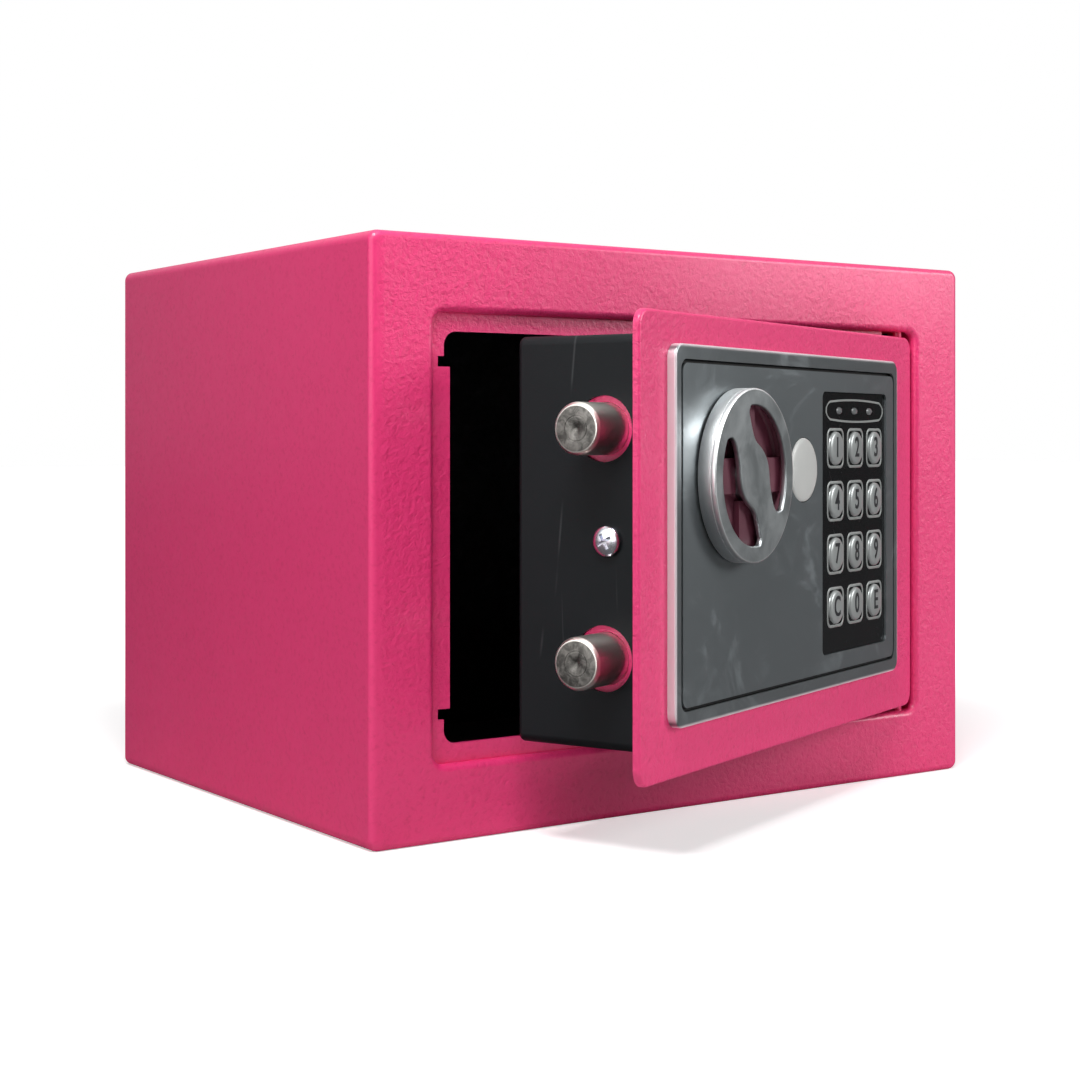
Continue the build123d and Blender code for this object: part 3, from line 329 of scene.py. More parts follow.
def turnedNickel(name, centre, half, tone):
    # a turned rod: its end face inside a bright rim painted near black as painted shade, varied a little by
    # grime, with turned rings there, and faint lines along its side
    look = {
        "rimInside": 0.0012, "rimStart": 0.0008, "endFaceShade": 0.055, "ringDepth": 0.00001, "lineDepth": 0.000004,
    }
    metal = Finish(name, Metallic=1.0)
    x, y, z = metal.split(metal.placed(centre))
    side = x * inward.x + y * inward.y
    reach = x * along.x + y * along.y
    radius = (side * side + z * z).root()
    rings = (radius * 9000.0).sine() * 0.5 + 0.5
    drawn = metal.add("ShaderNodeCombineXYZ", None, [reach * 5200, radius * 2000, 0.0])
    lines = metal.noise(1, 2, 0.6, 0.0, drawn)
    grime = metal.smooth(metal.noise(330, 4, 0.65, 0.6), 0.38, 0.72)
    withinRim = metal.smooth(radius, half - look["rimInside"], half - look["rimStart"], 1.0, 0.0)
    # painted shade: the end face inside the rim is darkened to about a twentieth of the metal's tone, varied a
    # little by the grime noise
    face = metal.smooth(reach, 0.0006, 0.0014, 1.0, 0.0) * withinRim
    body = metal.blend(tone, tuple(c * look["endFaceShade"] for c in tone), face * (0.96 - 0.14 * grime))
    body = metal.blend(body, tuple(c * 0.7 for c in tone), grime * 0.15)
    rough = 0.34 + face * (0.06 + 0.16 * grime) + 0.05 * lines
    normal = metal.bump(rings * face, look["ringDepth"])
    normal = metal.bump(lines, look["lineDepth"], normal)
    return metal.feed(Base_Color=body, Roughness=rough, Normal=normal)


def zincPlate(name="zincPlate", tone=(0.56, 0.57, 0.585), rough=0.24, hue=0.35):
    # plated steel, its passivation drifting between blue and rose
    metal = Finish(name, Metallic=1.0)
    spangle = metal.noise(380, 4, 0.6, 0.8)
    hueShift = metal.smooth(metal.noise(240, 2, 0.5), 0.35, 0.65)
    tint = metal.blend((0.40, 0.50, 0.80), (0.80, 0.62, 0.74), hueShift)
    body = metal.blend(tone, tint, hue * metal.smooth(spangle, 0.4, 0.7))
    normal = metal.bump(spangle, 0.00001)
    return metal.feed(Base_Color=body, Roughness=rough + 0.14 * spangle, Normal=normal)


def plastic(name, colour, rough=0.4, grain=900.0, depth=0.00003, spread=0.18, **constants):
    # moulded plastic: slight colour drift, fine grain, faint scuffs
    resin = Finish(name, **constants)
    drift = resin.noise(26, 3, 0.55)
    fine = resin.noise(grain, 3, 0.55)
    scuff = resin.smooth(resin.noise(110, 4, 0.7, 1.5), 0.58, 0.74)
    darker = tuple(c * (1 - spread) for c in colour)
    body = resin.blend(darker, colour, resin.smooth(drift, 0.3, 0.7))
    body = resin.blend(body, tuple(min(1, c * 1.3 + 0.01) for c in colour), scuff * 0.25)
    roughness = rough + 0.10 * scuff + 0.06 * fine
    return resin.feed(Base_Color=body, Roughness=roughness, Normal=resin.bump(fine, depth))


def batteryWrap(lengthCentre):
    # printed sleeve in two bands, with no words
    look = {
        "sleeve": (0.012, 0.035, 0.075), "shoulder": (0.62, 0.36, 0.10), "stripe": (0.75, 0.75, 0.75),
        "stripeAt": 0.010,
    }
    wrap = Finish("cellWrap", Coat_Weight=0.4, Coat_Roughness=0.12)
    x, y, z = wrap.split(wrap.placed(lengthCentre))
    reach = x * along.x + y * along.y
    band = wrap.smooth(reach, 0.0118, 0.0122)
    stripe = wrap.smooth(abs(reach - look["stripeAt"]), 0.0008, 0.0010, 1.0, 0.0)
    body = wrap.blend(look["sleeve"], look["shoulder"], band)
    body = wrap.blend(body, look["stripe"], stripe)
    scuff = wrap.smooth(wrap.noise(160, 4, 0.7), 0.6, 0.75)
    return wrap.feed(Base_Color=body, Roughness=0.28 + 0.2 * scuff, Normal=wrap.bump(scuff, 0.00001))


def circuitGreen():
    board = Finish("solderMask", Coat_Weight=0.5, Coat_Roughness=0.15)
    weave = board.noise(1400, 2, 0.5)
    trace = board.smooth(board.cells(260, "DISTANCE_TO_EDGE"), 0.03, 0.05)
    body = board.blend((0.03, 0.20, 0.07), (0.012, 0.095, 0.035), trace)
    return board.feed(Base_Color=body, Roughness=0.3 + 0.1 * weave, Normal=board.bump(trace, 0.00003))


finishes = {
    "paint": powderCoat(),
    "cover": satinBlack(),
    "felt": blackFelt(),
    "panel": satinSilver("satinSilver", "panel_face", (0.205, 0.228, 0.238), 0.30, 0.0),
    "bezel": satinSilver("bezelSilver", "panel_bezel", (0.235, 0.258, 0.268), 0.24, 1.0),
    "chrome": brushedChrome("knob"),
    "zinc": zincPlate(),
    "screwZinc": zincPlate("screwZinc", (0.66, 0.67, 0.70), 0.16, 0.55),
    "brass": zincPlate("turnedBrass", (0.72, 0.52, 0.22), 0.28, 0.0),
    # painted shade: the knob cup's colour is the pink of the paint as it looks in the shade behind the slots
    "maroon": plastic("maroonCup", (0.15, 0.032, 0.058), 0.42, 1200, 0.00002, 0.3),
    "keypad": plastic(
        "keypadGloss", (0.0040, 0.0046, 0.0052), 0.20, 700, 0.000006, 0.2, Specular_IOR_Level=0.3),
    "print": plastic("silverPrint", (0.36, 0.38, 0.37), 0.36, 2000, 0.00001, 0.15, Metallic=0.35),
    "key": plastic("keySilver", (0.40, 0.425, 0.42), 0.30, 1500, 0.00001, 0.12, Metallic=0.45),
    "numeral": plastic("numeralInk", (0.012, 0.013, 0.016), 0.42, 1500, 0.00001, 0.2),
    "lens": plastic("lensGrey", (0.20, 0.21, 0.215), 0.22, 900, 0.00001, 0.2, Transmission_Weight=0.2),
    "cap": plastic(
        "capPearl", (0.50, 0.51, 0.495), 0.33, 800, 0.00001, 0.08,
        Subsurface_Weight=0.1, Subsurface_Radius=(0.002, 0.002, 0.002)),
    "rubber": plastic("matRubber", (0.12, 0.12, 0.12), 0.75, 1200, 0.00004),
    "blackPlastic": plastic("blackAbs", (0.012, 0.012, 0.013), 0.48, 1700, 0.00005),
    "red": plastic("redButton", (0.42, 0.012, 0.012), 0.3, 900, 0.00001),
    "tape": plastic("coilTape", (0.42, 0.25, 0.03), 0.35, 700, 0.00004),
    "cells": batteryWrap(doorPlace @ doorCentre("batteries")),
    "board": circuitGreen(),
}
nodeFinish = {
    "paint": ["cabinet_shell", "front_frame", "back_panel", "hinge_doublers", "hinge_pins",
              "door_plate", "door_hinge_ears", "inner_frame", "cover_bracket"],
    "cover": ["lock_cover"],
    "felt": ["floor_mat", "lining_top", "lining_sides", "lining_back"],
    "panel": ["panel_face"],
    "bezel": ["panel_bezel"],
    "keypad": ["keypad_plate"],
    "chrome": ["key_lock_body"],
    "zinc": ["guide_studs", "key_lock_nut", "solenoid_frame", "plunger_spring", "knob_spindle", "drive_cam",
             "knob_circlip", "bolt_carriage", "bolt_nuts", "plunger", "key_lever", "battery_contacts"],
    "brass": ["key_plug", "knob_bushing"],
    "rubber": ["key_mat"],
    "blackPlastic": ["battery_tray", "battery_lid", "reset_switch"],
    "red": ["reset_button"],
    "tape": ["solenoid_coil"],
    "cells": ["batteries"],
    "board": ["circuit_board"],
    "lens": ["led_lenses"],
}
for finish, nodes in nodeFinish.items():
    for node in nodes:
        frame["nodes"][node].data.materials.clear()
        frame["nodes"][node].data.materials.append(finishes[finish])
print("materials made:", len(finishes))


# shared ways of making a piece
def solidMesh(obj):
    # the evaluated object as a plain mesh, its modifiers gone
    bpy.context.view_layer.update()
    graph = bpy.context.evaluated_depsgraph_get()
    made = bpy.data.meshes.new_from_object(obj.evaluated_get(graph))
    piece = bpy.data.objects.new(obj.name + "Made", made)
    name = obj.name
    bpy.data.objects.remove(obj)
    piece.name = name
    bpy.context.scene.collection.objects.link(piece)
    return piece


def joined(name, pieces):
    # several plain pieces as one, each keeping its own material
    whole = bmesh.new()
    materials = []
    for piece in pieces:
        part = bmesh.new()
        part.from_mesh(piece.data)
        slots = list(piece.data.materials)
        for face in part.faces:
            material = slots[face.material_index]
            if material not in materials:
                materials.append(material)
            face.material_index = materials.index(material)
        mesh = bpy.data.meshes.new("part")
        part.to_mesh(mesh)
        part.free()
        whole.from_mesh(mesh)
        bpy.data.meshes.remove(mesh)
    mesh = bpy.data.meshes.new(name)
    whole.to_mesh(mesh)
    whole.free()
    for material in materials:
        mesh.materials.append(material)
    for piece in pieces:
        bpy.data.objects.remove(piece)
    obj = bpy.data.objects.new(name, mesh)
    bpy.context.scene.collection.objects.link(obj)
    return obj


def settled(obj, place, body, replaced=()):
    # carry the piece to its place in its mesh, and hand it to its body
    obj.data.transform(place)
    obj.data.update()
    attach(obj, body)
    if replaced:
        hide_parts(*replaced)
    return obj


def lathe(name, profile, material, sides=72, sharp=0.55):
    # a closed profile of (radius, height) turned about the local Z axis, creased past the sharp angle
    mesh = bmesh.new()
    rings = []
    for radius, height in profile:
        if radius < 1e-7:
            rings.append([mesh.verts.new((0, 0, height))])
        else:
            turns = [2 * math.pi * k / sides for k in range(sides)]
            places = [(radius * math.cos(a), radius * math.sin(a), height) for a in turns]
            rings.append([mesh.verts.new(place) for place in places])
    pairs = list(zip(rings, rings[1:]))
    if len(rings[0]) > 1:
        pairs.append((rings[-1], rings[0]))
    for first, second in pairs:
        for k in range(sides):
            n = (k + 1) % sides
            corners = [first[k % len(first)], first[n % len(first)]]
            corners += [second[n % len(second)], second[k % len(second)]]
            unique = list(dict.fromkeys(corners))
            if len(unique) > 2:
                mesh.faces.new(unique)
    bmesh.ops.recalc_face_normals(mesh, faces=mesh.faces)
    for face in mesh.faces:
        face.smooth = True
    for edge in mesh.edges:
        if len(edge.link_faces) == 2 and edge.calc_face_angle() > sharp:
            edge.smooth = False
    data = bpy.data.meshes.new(name)
    mesh.to_mesh(data)
    mesh.free()
    data.materials.append(material)
    obj = bpy.data.objects.new(name, data)
    bpy.context.scene.collection.objects.link(obj)
    return obj


def plateFromOutlines(name, outlines, thickness, edge, material):
    # a flat plate with holes and rounded edges, its front face at local Z 0
    curve = bpy.data.curves.new(name, "CURVE")
    curve.dimensions = "2D"
    curve.fill_mode = "BOTH"
    for points in outlines:
        spline = curve.splines.new("POLY")
        spline.points.add(len(points) - 1)
        for point, (x, y) in zip(spline.points, points):
            point.co = (x, y, 0, 1)
        spline.use_cyclic_u = True
    curve.extrude = thickness / 2 - edge
    curve.bevel_depth = edge
    curve.bevel_resolution = 3
    curve.offset = -edge
    curve.materials.append(material)
    obj = bpy.data.objects.new(name, curve)
    bpy.context.scene.collection.objects.link(obj)
    obj = solidMesh(obj)
    obj.data.transform(Matrix.Translation((0, 0, -thickness / 2)))
    softened(obj)
    return obj


def softened(obj, angle=0.5):
    # smooth round the bends, with a crisp line where a bend meets a flat
    mesh = bmesh.new()
    mesh.from_mesh(obj.data)
    bmesh.ops.remove_doubles(mesh, verts=mesh.verts, dist=1e-7)
    bmesh.ops.recalc_face_normals(mesh, faces=mesh.faces)
    for face in mesh.faces:
        face.smooth = True
    for edge in mesh.edges:
        flats = [abs(face.normal.z) > 0.9995 for face in edge.link_faces]
        edge.smooth = len(flats) == 2 and flats[0] == flats[1] and edge.calc_face_angle() < angle
    mesh.to_mesh(obj.data)
    mesh.free()
    return obj


def arcPoints(centre, radius, start, end, count):
    # points along a circular arc, its angles in degrees
    steps = [math.radians(start + (end - start) * k / (count - 1)) for k in range(count)]
    return [(centre[0] + radius * math.cos(a), centre[1] + radius * math.sin(a)) for a in steps]


def nodeTree(name, sizes):
    # a geometry tree with named inputs; sizes gives each its kind and starting value
    tree = bpy.data.node_groups.new(name, "GeometryNodeTree")
    tree.interface.new_socket("Geometry", in_out="OUTPUT", socket_type="NodeSocketGeometry")
    kinds = {int: "NodeSocketInt", float: "NodeSocketFloat", bpy.types.Material: "NodeSocketMaterial"}
    for key, value in sizes.items():
        socket = tree.interface.new_socket(key, in_out="INPUT", socket_type=kinds[type(value)])
        socket.default_value = value
    graph = Graph(tree)
    group = tree.nodes.new("NodeGroupInput")
    return graph, {key: Socket(graph, group.outputs[key]) for key in sizes}


def grown(name, graph, sizes, geometry, material):
    # realised, given its material, run on an empty mesh with the named inputs set, and made plain
    made = graph.add("GeometryNodeRealizeInstances", None, [geometry])
    made = graph.add("GeometryNodeSetMaterial", None, {"Geometry": made, "Material": material})
    out = graph.tree.nodes.new("NodeGroupOutput")
    graph.tree.links.new(made.socket, out.inputs[0])
    obj = bpy.data.objects.new(name, bpy.data.meshes.new(name))
    bpy.context.scene.collection.objects.link(obj)
    modifier = obj.modifiers.new(name, "NODES")
    modifier.node_group = graph.tree
    for item in graph.tree.interface.items_tree:
        if item.item_type == "SOCKET" and item.in_out == "INPUT":
            modifier[item.identifier] = sizes[item.name]
    return solidMesh(obj)


# knob
def makeKnob():
    # a face with two slots round an S-shaped bar, on a skirt, with a hub behind the bar
    sizes = {
        "faceThick": 1.6 * mm, "edge": 0.40 * mm, "slotReach": 0.805, "slotFrom": -31, "slotTo": 98,
        "skirtWall": 1.5 * mm, "foot": 0.3 * mm, "hub": 7 * mm, "hubGap": 0.4 * mm, "lap": 0.05 * mm,
        # the slot's inner side from its top to its bottom, in shares of the knob's radius
        "inner": [(-0.155, 0.73), (-0.13, 0.67), (-0.085, 0.56), (-0.03, 0.45), (0.035, 0.385),
                  (0.12, 0.345), (0.215, 0.285), (0.30, 0.20), (0.35, 0.10), (0.37, -0.01),
                  (0.385, -0.12), (0.43, -0.25), (0.48, -0.36), (0.56, -0.435)],
    }
    low, high = doorBox("knob")
    radius = (high.y - low.y) / 2
    front, back = high.z, low.z
    centre = Matrix.Translation(((low.x + high.x) / 2, (low.y + high.y) / 2, 0))
    rimArc = arcPoints((0, 0), sizes["slotReach"] * radius, sizes["slotFrom"], sizes["slotTo"], 40)
    slot = smoothLoop(rimArc + [(x * radius, y * radius) for x, y in sizes["inner"]])
    turned = [(-x, -y) for x, y in slot]
    rim = arcPoints((0, 0), radius - 0.01 * mm, 0, 357.5, 144)
    outlines = [rim, slot, turned]
    face = plateFromOutlines("knobFace", outlines, sizes["faceThick"], sizes["edge"], finishes["chrome"])
    face.data.transform(Matrix.Translation((0, 0, front)))
    top = front - sizes["faceThick"] + sizes["lap"]
    inside = radius - sizes["skirtWall"]
    outside, foot = radius - 0.02 * mm, sizes["foot"]
    wall = [(inside, top), (outside, top), (outside, back + foot), (outside - foot, back), (inside, back)]
    skirt = lathe("knobSkirt", wall, finishes["chrome"], 144, 0.9)
    hubTop, hubBack = top + 0.02 * mm, back + sizes["hubGap"]
    hubProfile = [(0, hubTop), (sizes["hub"], hubTop), (sizes["hub"], hubBack), (0, hubBack)]
    hub = lathe("knobHub", hubProfile, finishes["chrome"], 64)
    knob = joined("knobShell", [face, skirt, hub])
    return settled(knob, doorPlace @ centre, "knob_group", ["knob"])


def smoothLoop(points):
    # cut every corner of a closed loop twice, which rounds it evenly
    for _ in range(2):
        cut = []
        for i, point in enumerate(points):
            here, following = Vector(point), Vector(points[(i + 1) % len(points)])
            cut.append(tuple(here.lerp(following, 0.25)))
            cut.append(tuple(here.lerp(following, 0.75)))
        points = cut
    return points


def makeKnobCup():
    # the cup seen through the slots, the paint's pink darkened to maroon as painted shade: a ring with a floor,
    # and blocks across it
    sizes = {
        "ribs": 4, "ribWidth": 9.6 * mm, "ribDrop": 1.5 * mm, "ribTurn": 0.0, "ribLap": 0.4 * mm,
        "hub": 7.05 * mm, "floorLift": 1.0 * mm, "wall": 1.0 * mm, "ribLift": 0.1 * mm,
    }
    low, high = doorBox("knob_insert")
    radius = (high.y - low.y) / 2
    height = high.z - low.z
    hub, floor, inner = sizes["hub"], sizes["floorLift"], radius - sizes["wall"]
    centre = Matrix.Translation(((low.x + high.x) / 2, (low.y + high.y) / 2, low.z))
    inputs = {
        "Ribs": sizes["ribs"], "Rib length": inner - hub + sizes["ribLap"], "Rib width": sizes["ribWidth"],
        "Rib height": height - sizes["ribDrop"], "Middle radius": (hub + inner) / 2,
        "First turn": sizes["ribTurn"], "Material": finishes["maroon"],
    }
    graph, put = nodeTree("cupRibs", inputs)
    size = graph.add("ShaderNodeCombineXYZ", None, [put["Rib length"], put["Rib width"], put["Rib height"]])
    block = graph.add("GeometryNodeMeshCube", None, {"Size": size})
    ring = {"Vertices": put["Ribs"], "Radius": put["Middle radius"]}
    circle = graph.add("GeometryNodeMeshCircle", None, ring)
    place = graph.add("GeometryNodeInputPosition")
    x = graph.add("ShaderNodeSeparateXYZ", None, [place], 0)
    y = graph.add("ShaderNodeSeparateXYZ", None, [place], 1)
    angle = graph.add("ShaderNodeMath", {"operation": "ARCTAN2"}, [y, x])
    spin = graph.add("ShaderNodeCombineXYZ", None, [0.0, 0.0, angle])
    placed = {"Points": circle, "Instance": block, "Rotation": spin}
    ribs = graph.add("GeometryNodeInstanceOnPoints", None, placed)
    turn = graph.add("ShaderNodeCombineXYZ", None, [0.0, 0.0, put["First turn"]])
    ribs = graph.add("GeometryNodeTransform", None, {"Geometry": ribs, "Rotation": turn})
    ribMesh = grown("cupRibs", graph, inputs, ribs, put["Material"])
    lift = (height - sizes["ribDrop"]) / 2 + sizes["ribLift"]
    ribMesh.data.transform(Matrix.Translation((0, 0, lift)))
    cup = lathe("cupWall", [
        (hub, 0), (radius, 0), (radius, height), (inner, height), (inner - 0.3 * mm, floor + 0.6 * mm),
        (inner - 0.9 * mm, floor), (hub + 0.6 * mm, floor), (hub, floor + 0.5 * mm),
    ], finishes["maroon"], 96)
    whole = joined("knobCup", [cup, ribMesh])
    return settled(whole, doorPlace @ centre, "knob_group", ["knob_insert"])


makeKnob()
makeKnobCup()
print("knob made")


# bolts, screws, cap
def makeBolt(node, tone):
    # a rod with a chamfered end, a centre mark and a fine turned groove, narrowed to its thread behind
    sizes = {
        "chamfer": 0.9 * mm, "dimple": 1.5 * mm, "dimpleDepth": 0.5 * mm, "land": 0.12 * mm,
        "rod": 32 * mm, "thread": 4 * mm,
    }
    low, high = doorBox(node)
    radius = (high.y - low.y) / 2
    centre = Vector((low.x, (low.y + high.y) / 2, (low.z + high.z) / 2))
    place = Matrix((Vector((0, 0, 1)), Vector((0, 1, 0)), Vector((-1, 0, 0)))).transposed().to_4x4()
    place.translation = centre
    c, dimple, deep, land = sizes["chamfer"], sizes["dimple"], sizes["dimpleDepth"], sizes["land"]
    rod, thread, end = -sizes["rod"], sizes["thread"], -(high.x - low.x)
    metal = turnedNickel(node + "Nickel", doorPlace @ centre, radius, tone)
    profile = [
        (0, -deep), (dimple * 0.45, -deep * 0.75), (dimple, 0),
        (radius * 0.45, 0), (radius * 0.46, -land), (radius * 0.49, -land), (radius * 0.5, 0),
        (radius - c - 0.25 * mm, 0), (radius - c * 0.8, -0.12 * mm), (radius - 0.1 * mm, -c + 0.05 * mm),
        (radius, -c - 0.2 * mm), (radius, rod), (thread, rod), (thread, end), (0, end),
    ]
    bolt = lathe(node + "Rod", profile, metal, 96)
    return settled(bolt, doorPlace @ place, "bolt_group", [node])


def makeScrews():
    # two pan heads with a cross, one at each end of the lock cover
    sizes = {
        "head": 4.3 * mm, "rise": 2.3 * mm, "skirt": 0.5 * mm, "cross": 4.6 * mm, "crossWidth": 0.95 * mm,
        "crossDepth": 1.3 * mm, "crossTurn": 0.5, "shank": 2 * mm, "reach": 8 * mm,
    }
    rise, skirt, shank, reach = sizes["rise"], sizes["skirt"], sizes["shank"], sizes["reach"]
    low, high = doorBox("cover_screws")
    coverLow, coverHigh = doorBox("lock_cover")
    middle = (low + high) / 2
    made = []
    for surface, direction in ((coverLow.x, -1), (coverHigh.x, 1)):
        profile = [(0, rise)]
        for k in range(1, 10):
            a = math.radians(90 - 9 * k)
            profile.append((sizes["head"] * math.cos(a), skirt + (rise - skirt) * math.sin(a) ** 0.8))
        profile += [(sizes["head"], skirt * 0.5), (sizes["head"] - 0.15 * mm, 0)]
        profile += [(shank, 0), (shank - 0.1 * mm, 0.5 * mm - reach), (0, -reach)]
        head = lathe("screwHead", profile, finishes["screwZinc"], 64, 0.7)
        cutter = bmesh.new()
        for turn in (0, 90):
            block = bmesh.ops.create_cube(cutter, size=1)["verts"]
            size = Matrix.Diagonal((sizes["cross"], sizes["crossWidth"], sizes["crossDepth"] * 2, 1))
            shape = Matrix.Translation((0, 0, rise)) @ Matrix.Rotation(math.radians(turn), 4, "Z") @ size
            bmesh.ops.transform(cutter, matrix=shape, verts=block)
        data = bpy.data.meshes.new("cross")
        cutter.to_mesh(data)
        cutter.free()
        cross = bpy.data.objects.new("cross", data)
        bpy.context.scene.collection.objects.link(cross)
        cut = head.modifiers.new("cross", "BOOLEAN")
        cut.operation = "DIFFERENCE"
        cut.object = cross
        cut.solver = "EXACT"
        cut.use_self = True
        head = solidMesh(head)
        bpy.data.objects.remove(cross)
        axes = (Vector((0, 0, -direction)), Vector((0, 1, 0)), Vector((direction, 0, 0)))
        place = Matrix(axes).transposed().to_4x4()
        place.translation = (surface, middle.y, middle.z)
        head.data.transform(place @ Matrix.Rotation(sizes["crossTurn"], 4, "Z"))
        made.append(head)
    return settled(joined("coverScrewHeads", made), doorPlace, "door", ["cover_screws"])


def makeCap():
    low, high = doorBox("lock_cap")
    radius = (high.y - low.y) / 2
    height = high.z - low.z
    crown = 0.25 * mm  # fall from the middle of the disc to its edge rounding
    place = Matrix.Translation(((low.x + high.x) / 2, (low.y + high.y) / 2, low.z))
    profile = [
        (0, height), (radius * 0.5, height - crown * 0.2), (radius * 0.82, height - crown),
        (radius * 0.93, height - crown * 1.8), (radius - 0.05 * mm, height - crown * 3.2),
        (radius, height - crown * 4.2), (radius, 0), (0, 0),
    ]
    disc = lathe("lockCapDisc", profile, finishes["cap"], 96, 0.9)
    return settled(disc, doorPlace @ place, "cap", ["lock_cap"])


makeBolt("bolt_upper", (0.92, 0.88, 0.82))
makeBolt("bolt_lower", (0.90, 0.86, 0.80))
makeScrews()
makeCap()
print("bolts, screws and cap made")


# keypad
def makeKeySurrounds():
    # twelve printed square outlines, set on a grid
    first, last = doorCentre("key_1"), doorCentre("key_e")
    plateTop = doorBox("keypad_plate")[1].z
    inputs = {
        "Columns": 3, "Rows": 4, "Span": last.x - first.x, "Rise": first.y - last.y,
        "Width": 12.4 * mm, "Height": 12.3 * mm, "Corner": 2.6 * mm, "Line": 0.85 * mm, "Thick": 0.12 * mm,
        "Material": finishes["print"],
    }
    graph, put = nodeTree("keySurrounds", inputs)
    grid = graph.add("GeometryNodeMeshGrid", None, {
        "Size X": put["Span"], "Size Y": put["Rise"], "Vertices X": put["Columns"], "Vertices Y": put["Rows"]})
    square = graph.add("GeometryNodeCurvePrimitiveQuadrilateral", None, {
        "Width": put["Width"] - put["Line"], "Height": put["Height"] - put["Line"]})
    rounding = {"Curve": square, "Radius": put["Corner"] - put["Line"] / 2, "Count": 5}
    square = graph.add("GeometryNodeFilletCurve", {"mode": "POLY"}, rounding)
    strip = graph.add("GeometryNodeCurvePrimitiveQuadrilateral", None, {
        "Width": put["Line"], "Height": put["Thick"]})
    ring = graph.add("GeometryNodeCurveToMesh", None, {"Curve": square, "Profile Curve": strip})
    rings = graph.add("GeometryNodeInstanceOnPoints", None, {"Points": grid, "Instance": ring})
    surrounds = grown("keySurrounds", graph, inputs, rings, put["Material"])
    middle = (first + last) / 2
    place = Matrix.Translation((middle.x, middle.y, plateTop + inputs["Thick"] * 0.35))
    return settled(surrounds, doorPlace @ place, "door")


def makeLightFrame():
    # a long oval line round the three lights, bowed above and below
    sizes = {
        "halfWidth": 21.7 * mm, "halfHeight": 2.5 * mm, "bow": 0.85 * mm, "line": 0.62 * mm, "thick": 0.12 * mm,
    }
    centre = doorCentre("led_lenses")
    plateTop = doorBox("keypad_plate")[1].z
    w, h, bow = sizes["halfWidth"], sizes["halfHeight"], sizes["bow"]

    def outline(grow):
        across = [w * (1 - 2 * k / 20) for k in range(1, 20)]
        upper = [(x, h + grow + bow * (1 - (x / w) ** 2)) for x in across]
        side = [(-w - grow, h * 0.45), (-w - grow - 0.15 * mm, 0), (-w - grow, -h * 0.45)]
        lower = [(-x, -y) for x, y in upper]
        return smoothLoop(upper + side + lower + [(-x, -y) for x, y in side])

    outlines = [outline(sizes["line"] / 2), outline(-sizes["line"] / 2)]
    ring = plateFromOutlines("lightFrame", outlines, sizes["thick"], 0.02 * mm, finishes["print"])
    place = Matrix.Translation((centre.x, centre.y, plateTop + sizes["thick"] * 0.9))
    return settled(ring, doorPlace @ place, "door")


def makeLenses():
    # three oval domes, each turned as a circle of radius 1 and then flattened to its size
    sizes = {"halfWidth": 2.45 * mm, "halfHeight": 1.15 * mm, "foot": 0.9 * mm, "proud": 0.2 * mm}
    low, high = doorBox("led_lenses")
    pitch = (high.x - low.x - 2 * sizes["halfWidth"]) / 2
    profile = [
        (0, 0.42 * mm), (0.35, 0.38 * mm), (0.65, 0.28 * mm), (0.88, 0.12 * mm), (1.0, -0.05 * mm),
        (1.0, -sizes["foot"]), (0, -sizes["foot"]),
    ]
    made = []
    for k in (-1, 0, 1):
        dome = lathe("lens", profile, finishes["lens"], 40)
        dome.data.transform(Matrix.Diagonal((sizes["halfWidth"], sizes["halfHeight"], 1, 1)))
        dome.data.transform(Matrix.Translation((k * pitch, 0, 0)))
        made.append(dome)
    place = Matrix.Translation(((low.x + high.x) / 2, (low.y + high.y) / 2, high.z - sizes["proud"]))
    return settled(joined("statusLenses", made), doorPlace @ place, "door", ["led_lenses"])


def makeKey(name, character):
    # a domed key on its flange and stem, with a raised character
    sizes = {
        "cap": 5.15 * mm, "crown": 0.28 * mm, "shoulder": 0.5 * mm, "skirt": 2.2 * mm, "flange": 5.8 * mm,
        "flangeLift": 0.8 * mm, "stem": 2 * mm, "numeral": 6.0 * mm, "narrow": 0.78, "ink": 0.06 * mm,
        "weight": 0.12 * mm, "aside": -0.5 * mm,
    }
    low, high = doorBox(name)
    centre = (low + high) / 2
    r, s, top, crown = sizes["cap"], sizes["shoulder"], high.z, sizes["crown"]
    flange, stem, lift = sizes["flange"], sizes["stem"], low.z + sizes["flangeLift"]
    profile = [
        (0, top), (r * 0.55, top - crown * 0.15), (r - s * 1.9, top - crown * 0.5), (r - s, top - crown),
        (r - s * 0.35, top - crown - s * 0.45), (r, top - crown - s * 1.5), (r, top - sizes["skirt"]),
        (flange, top - sizes["skirt"]), (flange, lift), (stem, lift), (stem, low.z), (0, low.z),
    ]
    button = lathe("button", profile, finishes["key"], 56, 0.8)
    text = bpy.data.curves.new("numeral", "FONT")
    text.body = character
    text.size = sizes["numeral"] / 0.70  # a capital stands 0.70 of the font's size
    text.align_x = "CENTER"
    text.align_y = "CENTER"
    text.extrude = sizes["ink"]
    text.offset = sizes["weight"]
    text.resolution_u = 6
    text.materials.append(finishes["numeral"])
    written = bpy.data.objects.new("numeral", text)
    bpy.context.scene.collection.objects.link(written)
    written = solidMesh(written)
    spot = Matrix.Translation((sizes["aside"], 0, top + 0.01 * mm))
    written.data.transform(spot @ Matrix.Diagonal((sizes["narrow"], 1, 1, 1)))
    key = joined(name + "Button", [button, written])
    place = doorPlace @ Matrix.Translation((centre.x, centre.y, 0))
    return settled(key, place, "button_" + name[4:], [name])


makeKeySurrounds()
makeLightFrame()
makeLenses()
for character in "123456789C0E":
    makeKey("key_" + character.lower(), character)
print("keypad made")

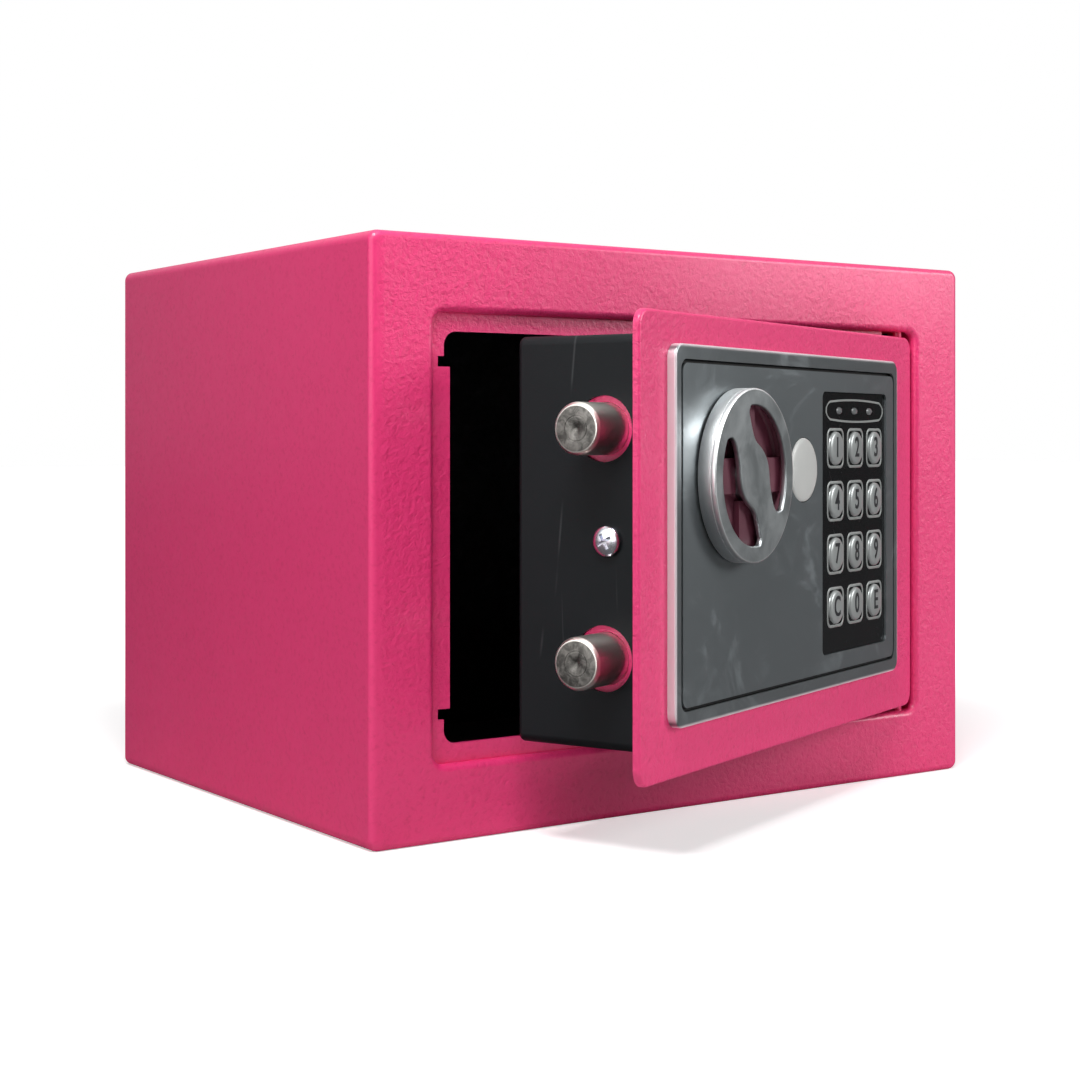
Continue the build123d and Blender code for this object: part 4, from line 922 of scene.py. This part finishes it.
# floor, light and camera
cameraSettings = {
    "place": (-0.3710, -0.5317, 0.1136), "turn": -34.936, "lens": 62.94, "sensor": 36.0, "shift": -0.09648,
}
camera = bpy.data.cameras.new("camera")
camera.sensor_width = cameraSettings["sensor"]
camera.lens = cameraSettings["lens"]
camera.shift_y = cameraSettings["shift"]
camera.clip_start = 0.01
cameraObject = bpy.data.objects.new("camera", camera)
cameraObject.location = cameraSettings["place"]
cameraObject.rotation_euler = (math.radians(90), 0, math.radians(cameraSettings["turn"]))
bpy.context.scene.collection.objects.link(cameraObject)
bpy.context.scene.camera = cameraObject


def makeFloor():
    # pale near the object, and white further off where the lamps don't reach
    floor = Finish("floor", Emission_Strength=1.0)
    dust = floor.noise(3, 3, 0.5)
    x, y, z = floor.split(floor.coords)
    seen = floor.add("ShaderNodeLightPath", None, None, "Is Camera Ray")
    mirrored = floor.add("ShaderNodeLightPath", None, None, "Is Glossy Ray")
    far = floor.smooth((x * x + y * y).root(), 0.14, 0.45, 0.50, 1.0) * seen
    glow = floor.add("ShaderNodeCombineXYZ", None, [far, far, far])
    # painted shade in reflections: glossy rays see the floor near black, so the parts reflect a dark floor
    # beneath them
    pale = floor.blend((0.93, 0.93, 0.93), (0.06, 0.06, 0.062), mirrored)
    material = floor.feed(Base_Color=pale, Roughness=0.62 + 0.1 * dust, Emission_Color=glow)
    mesh = bmesh.new()
    bmesh.ops.create_grid(mesh, x_segments=1, y_segments=1, size=6)
    data = bpy.data.meshes.new("floor")
    mesh.to_mesh(data)
    mesh.free()
    data.materials.append(material)
    obj = bpy.data.objects.new("floor", data)
    bpy.context.scene.collection.objects.link(obj)


def addLamp(name, place, target, size, power):
    lamp = bpy.data.lights.new(name, "AREA")
    lamp.shape = "RECTANGLE"
    lamp.size, lamp.size_y = size
    lamp.energy = power
    obj = bpy.data.objects.new(name, lamp)
    obj.location = place
    obj.rotation_euler = (Vector(target) - Vector(place)).to_track_quat("-Z", "Y").to_euler()
    bpy.context.scene.collection.objects.link(obj)


def makeRoom():
    # seen as white, but a dim room for what reflects it, brighter at the left, above and behind
    look = {
        "card": 3.0, "above": 0.9, "behind": 0.30, "dim": 0.03, "fill": 0.04,
        "cardTowards": (-0.97, -0.22, 0.12),
    }
    world = bpy.data.worlds.new("room")
    bpy.context.scene.world = world
    world.use_nodes = True
    room = Graph(world.node_tree)
    back = world.node_tree.nodes["Background"]
    direction = room.add("ShaderNodeTexCoord", None, None, "Generated")

    def glow(value, low, high, level):
        values = [value, low, high, 0.0, level]
        return room.add("ShaderNodeMapRange", {"interpolation_type": "SMOOTHSTEP"}, values)

    towards = tuple(Vector(look["cardTowards"]).normalized())
    facing = room.add("ShaderNodeVectorMath", {"operation": "DOT_PRODUCT"}, [direction, towards], 1)
    y = room.add("ShaderNodeSeparateXYZ", None, [direction], 1)
    z = room.add("ShaderNodeSeparateXYZ", None, [direction], 2)
    card = glow(facing, 0.70, 0.95, look["card"])
    behind = glow(y, 0.62, 0.95, look["behind"])
    above = glow(z, 0.2, 0.9, look["above"])
    seen = room.add("ShaderNodeLightPath", None, None, "Is Camera Ray")
    mirrored = room.add("ShaderNodeLightPath", None, None, "Is Glossy Ray")
    shown = seen + (1 - seen) * (look["fill"] + mirrored * (card + above + behind + look["dim"]))
    colour = room.add("ShaderNodeCombineXYZ", None, [shown, shown, shown])
    room.tree.links.new(colour.socket, back.inputs["Color"])
    back.inputs["Strength"].default_value = 1.0


makeFloor()
makeRoom()
addLamp("right", (0.9, -0.8, 0.5), (0, -0.08, 0.1), (0.5, 0.5), 8)
addLamp("left", (-0.3, -0.30, 0.60), (0.08, -0.09, 0.15), (0.3, 0.15), 4.4)
bpy.context.scene.view_settings.view_transform = "Standard"
print("floor, light and camera made")
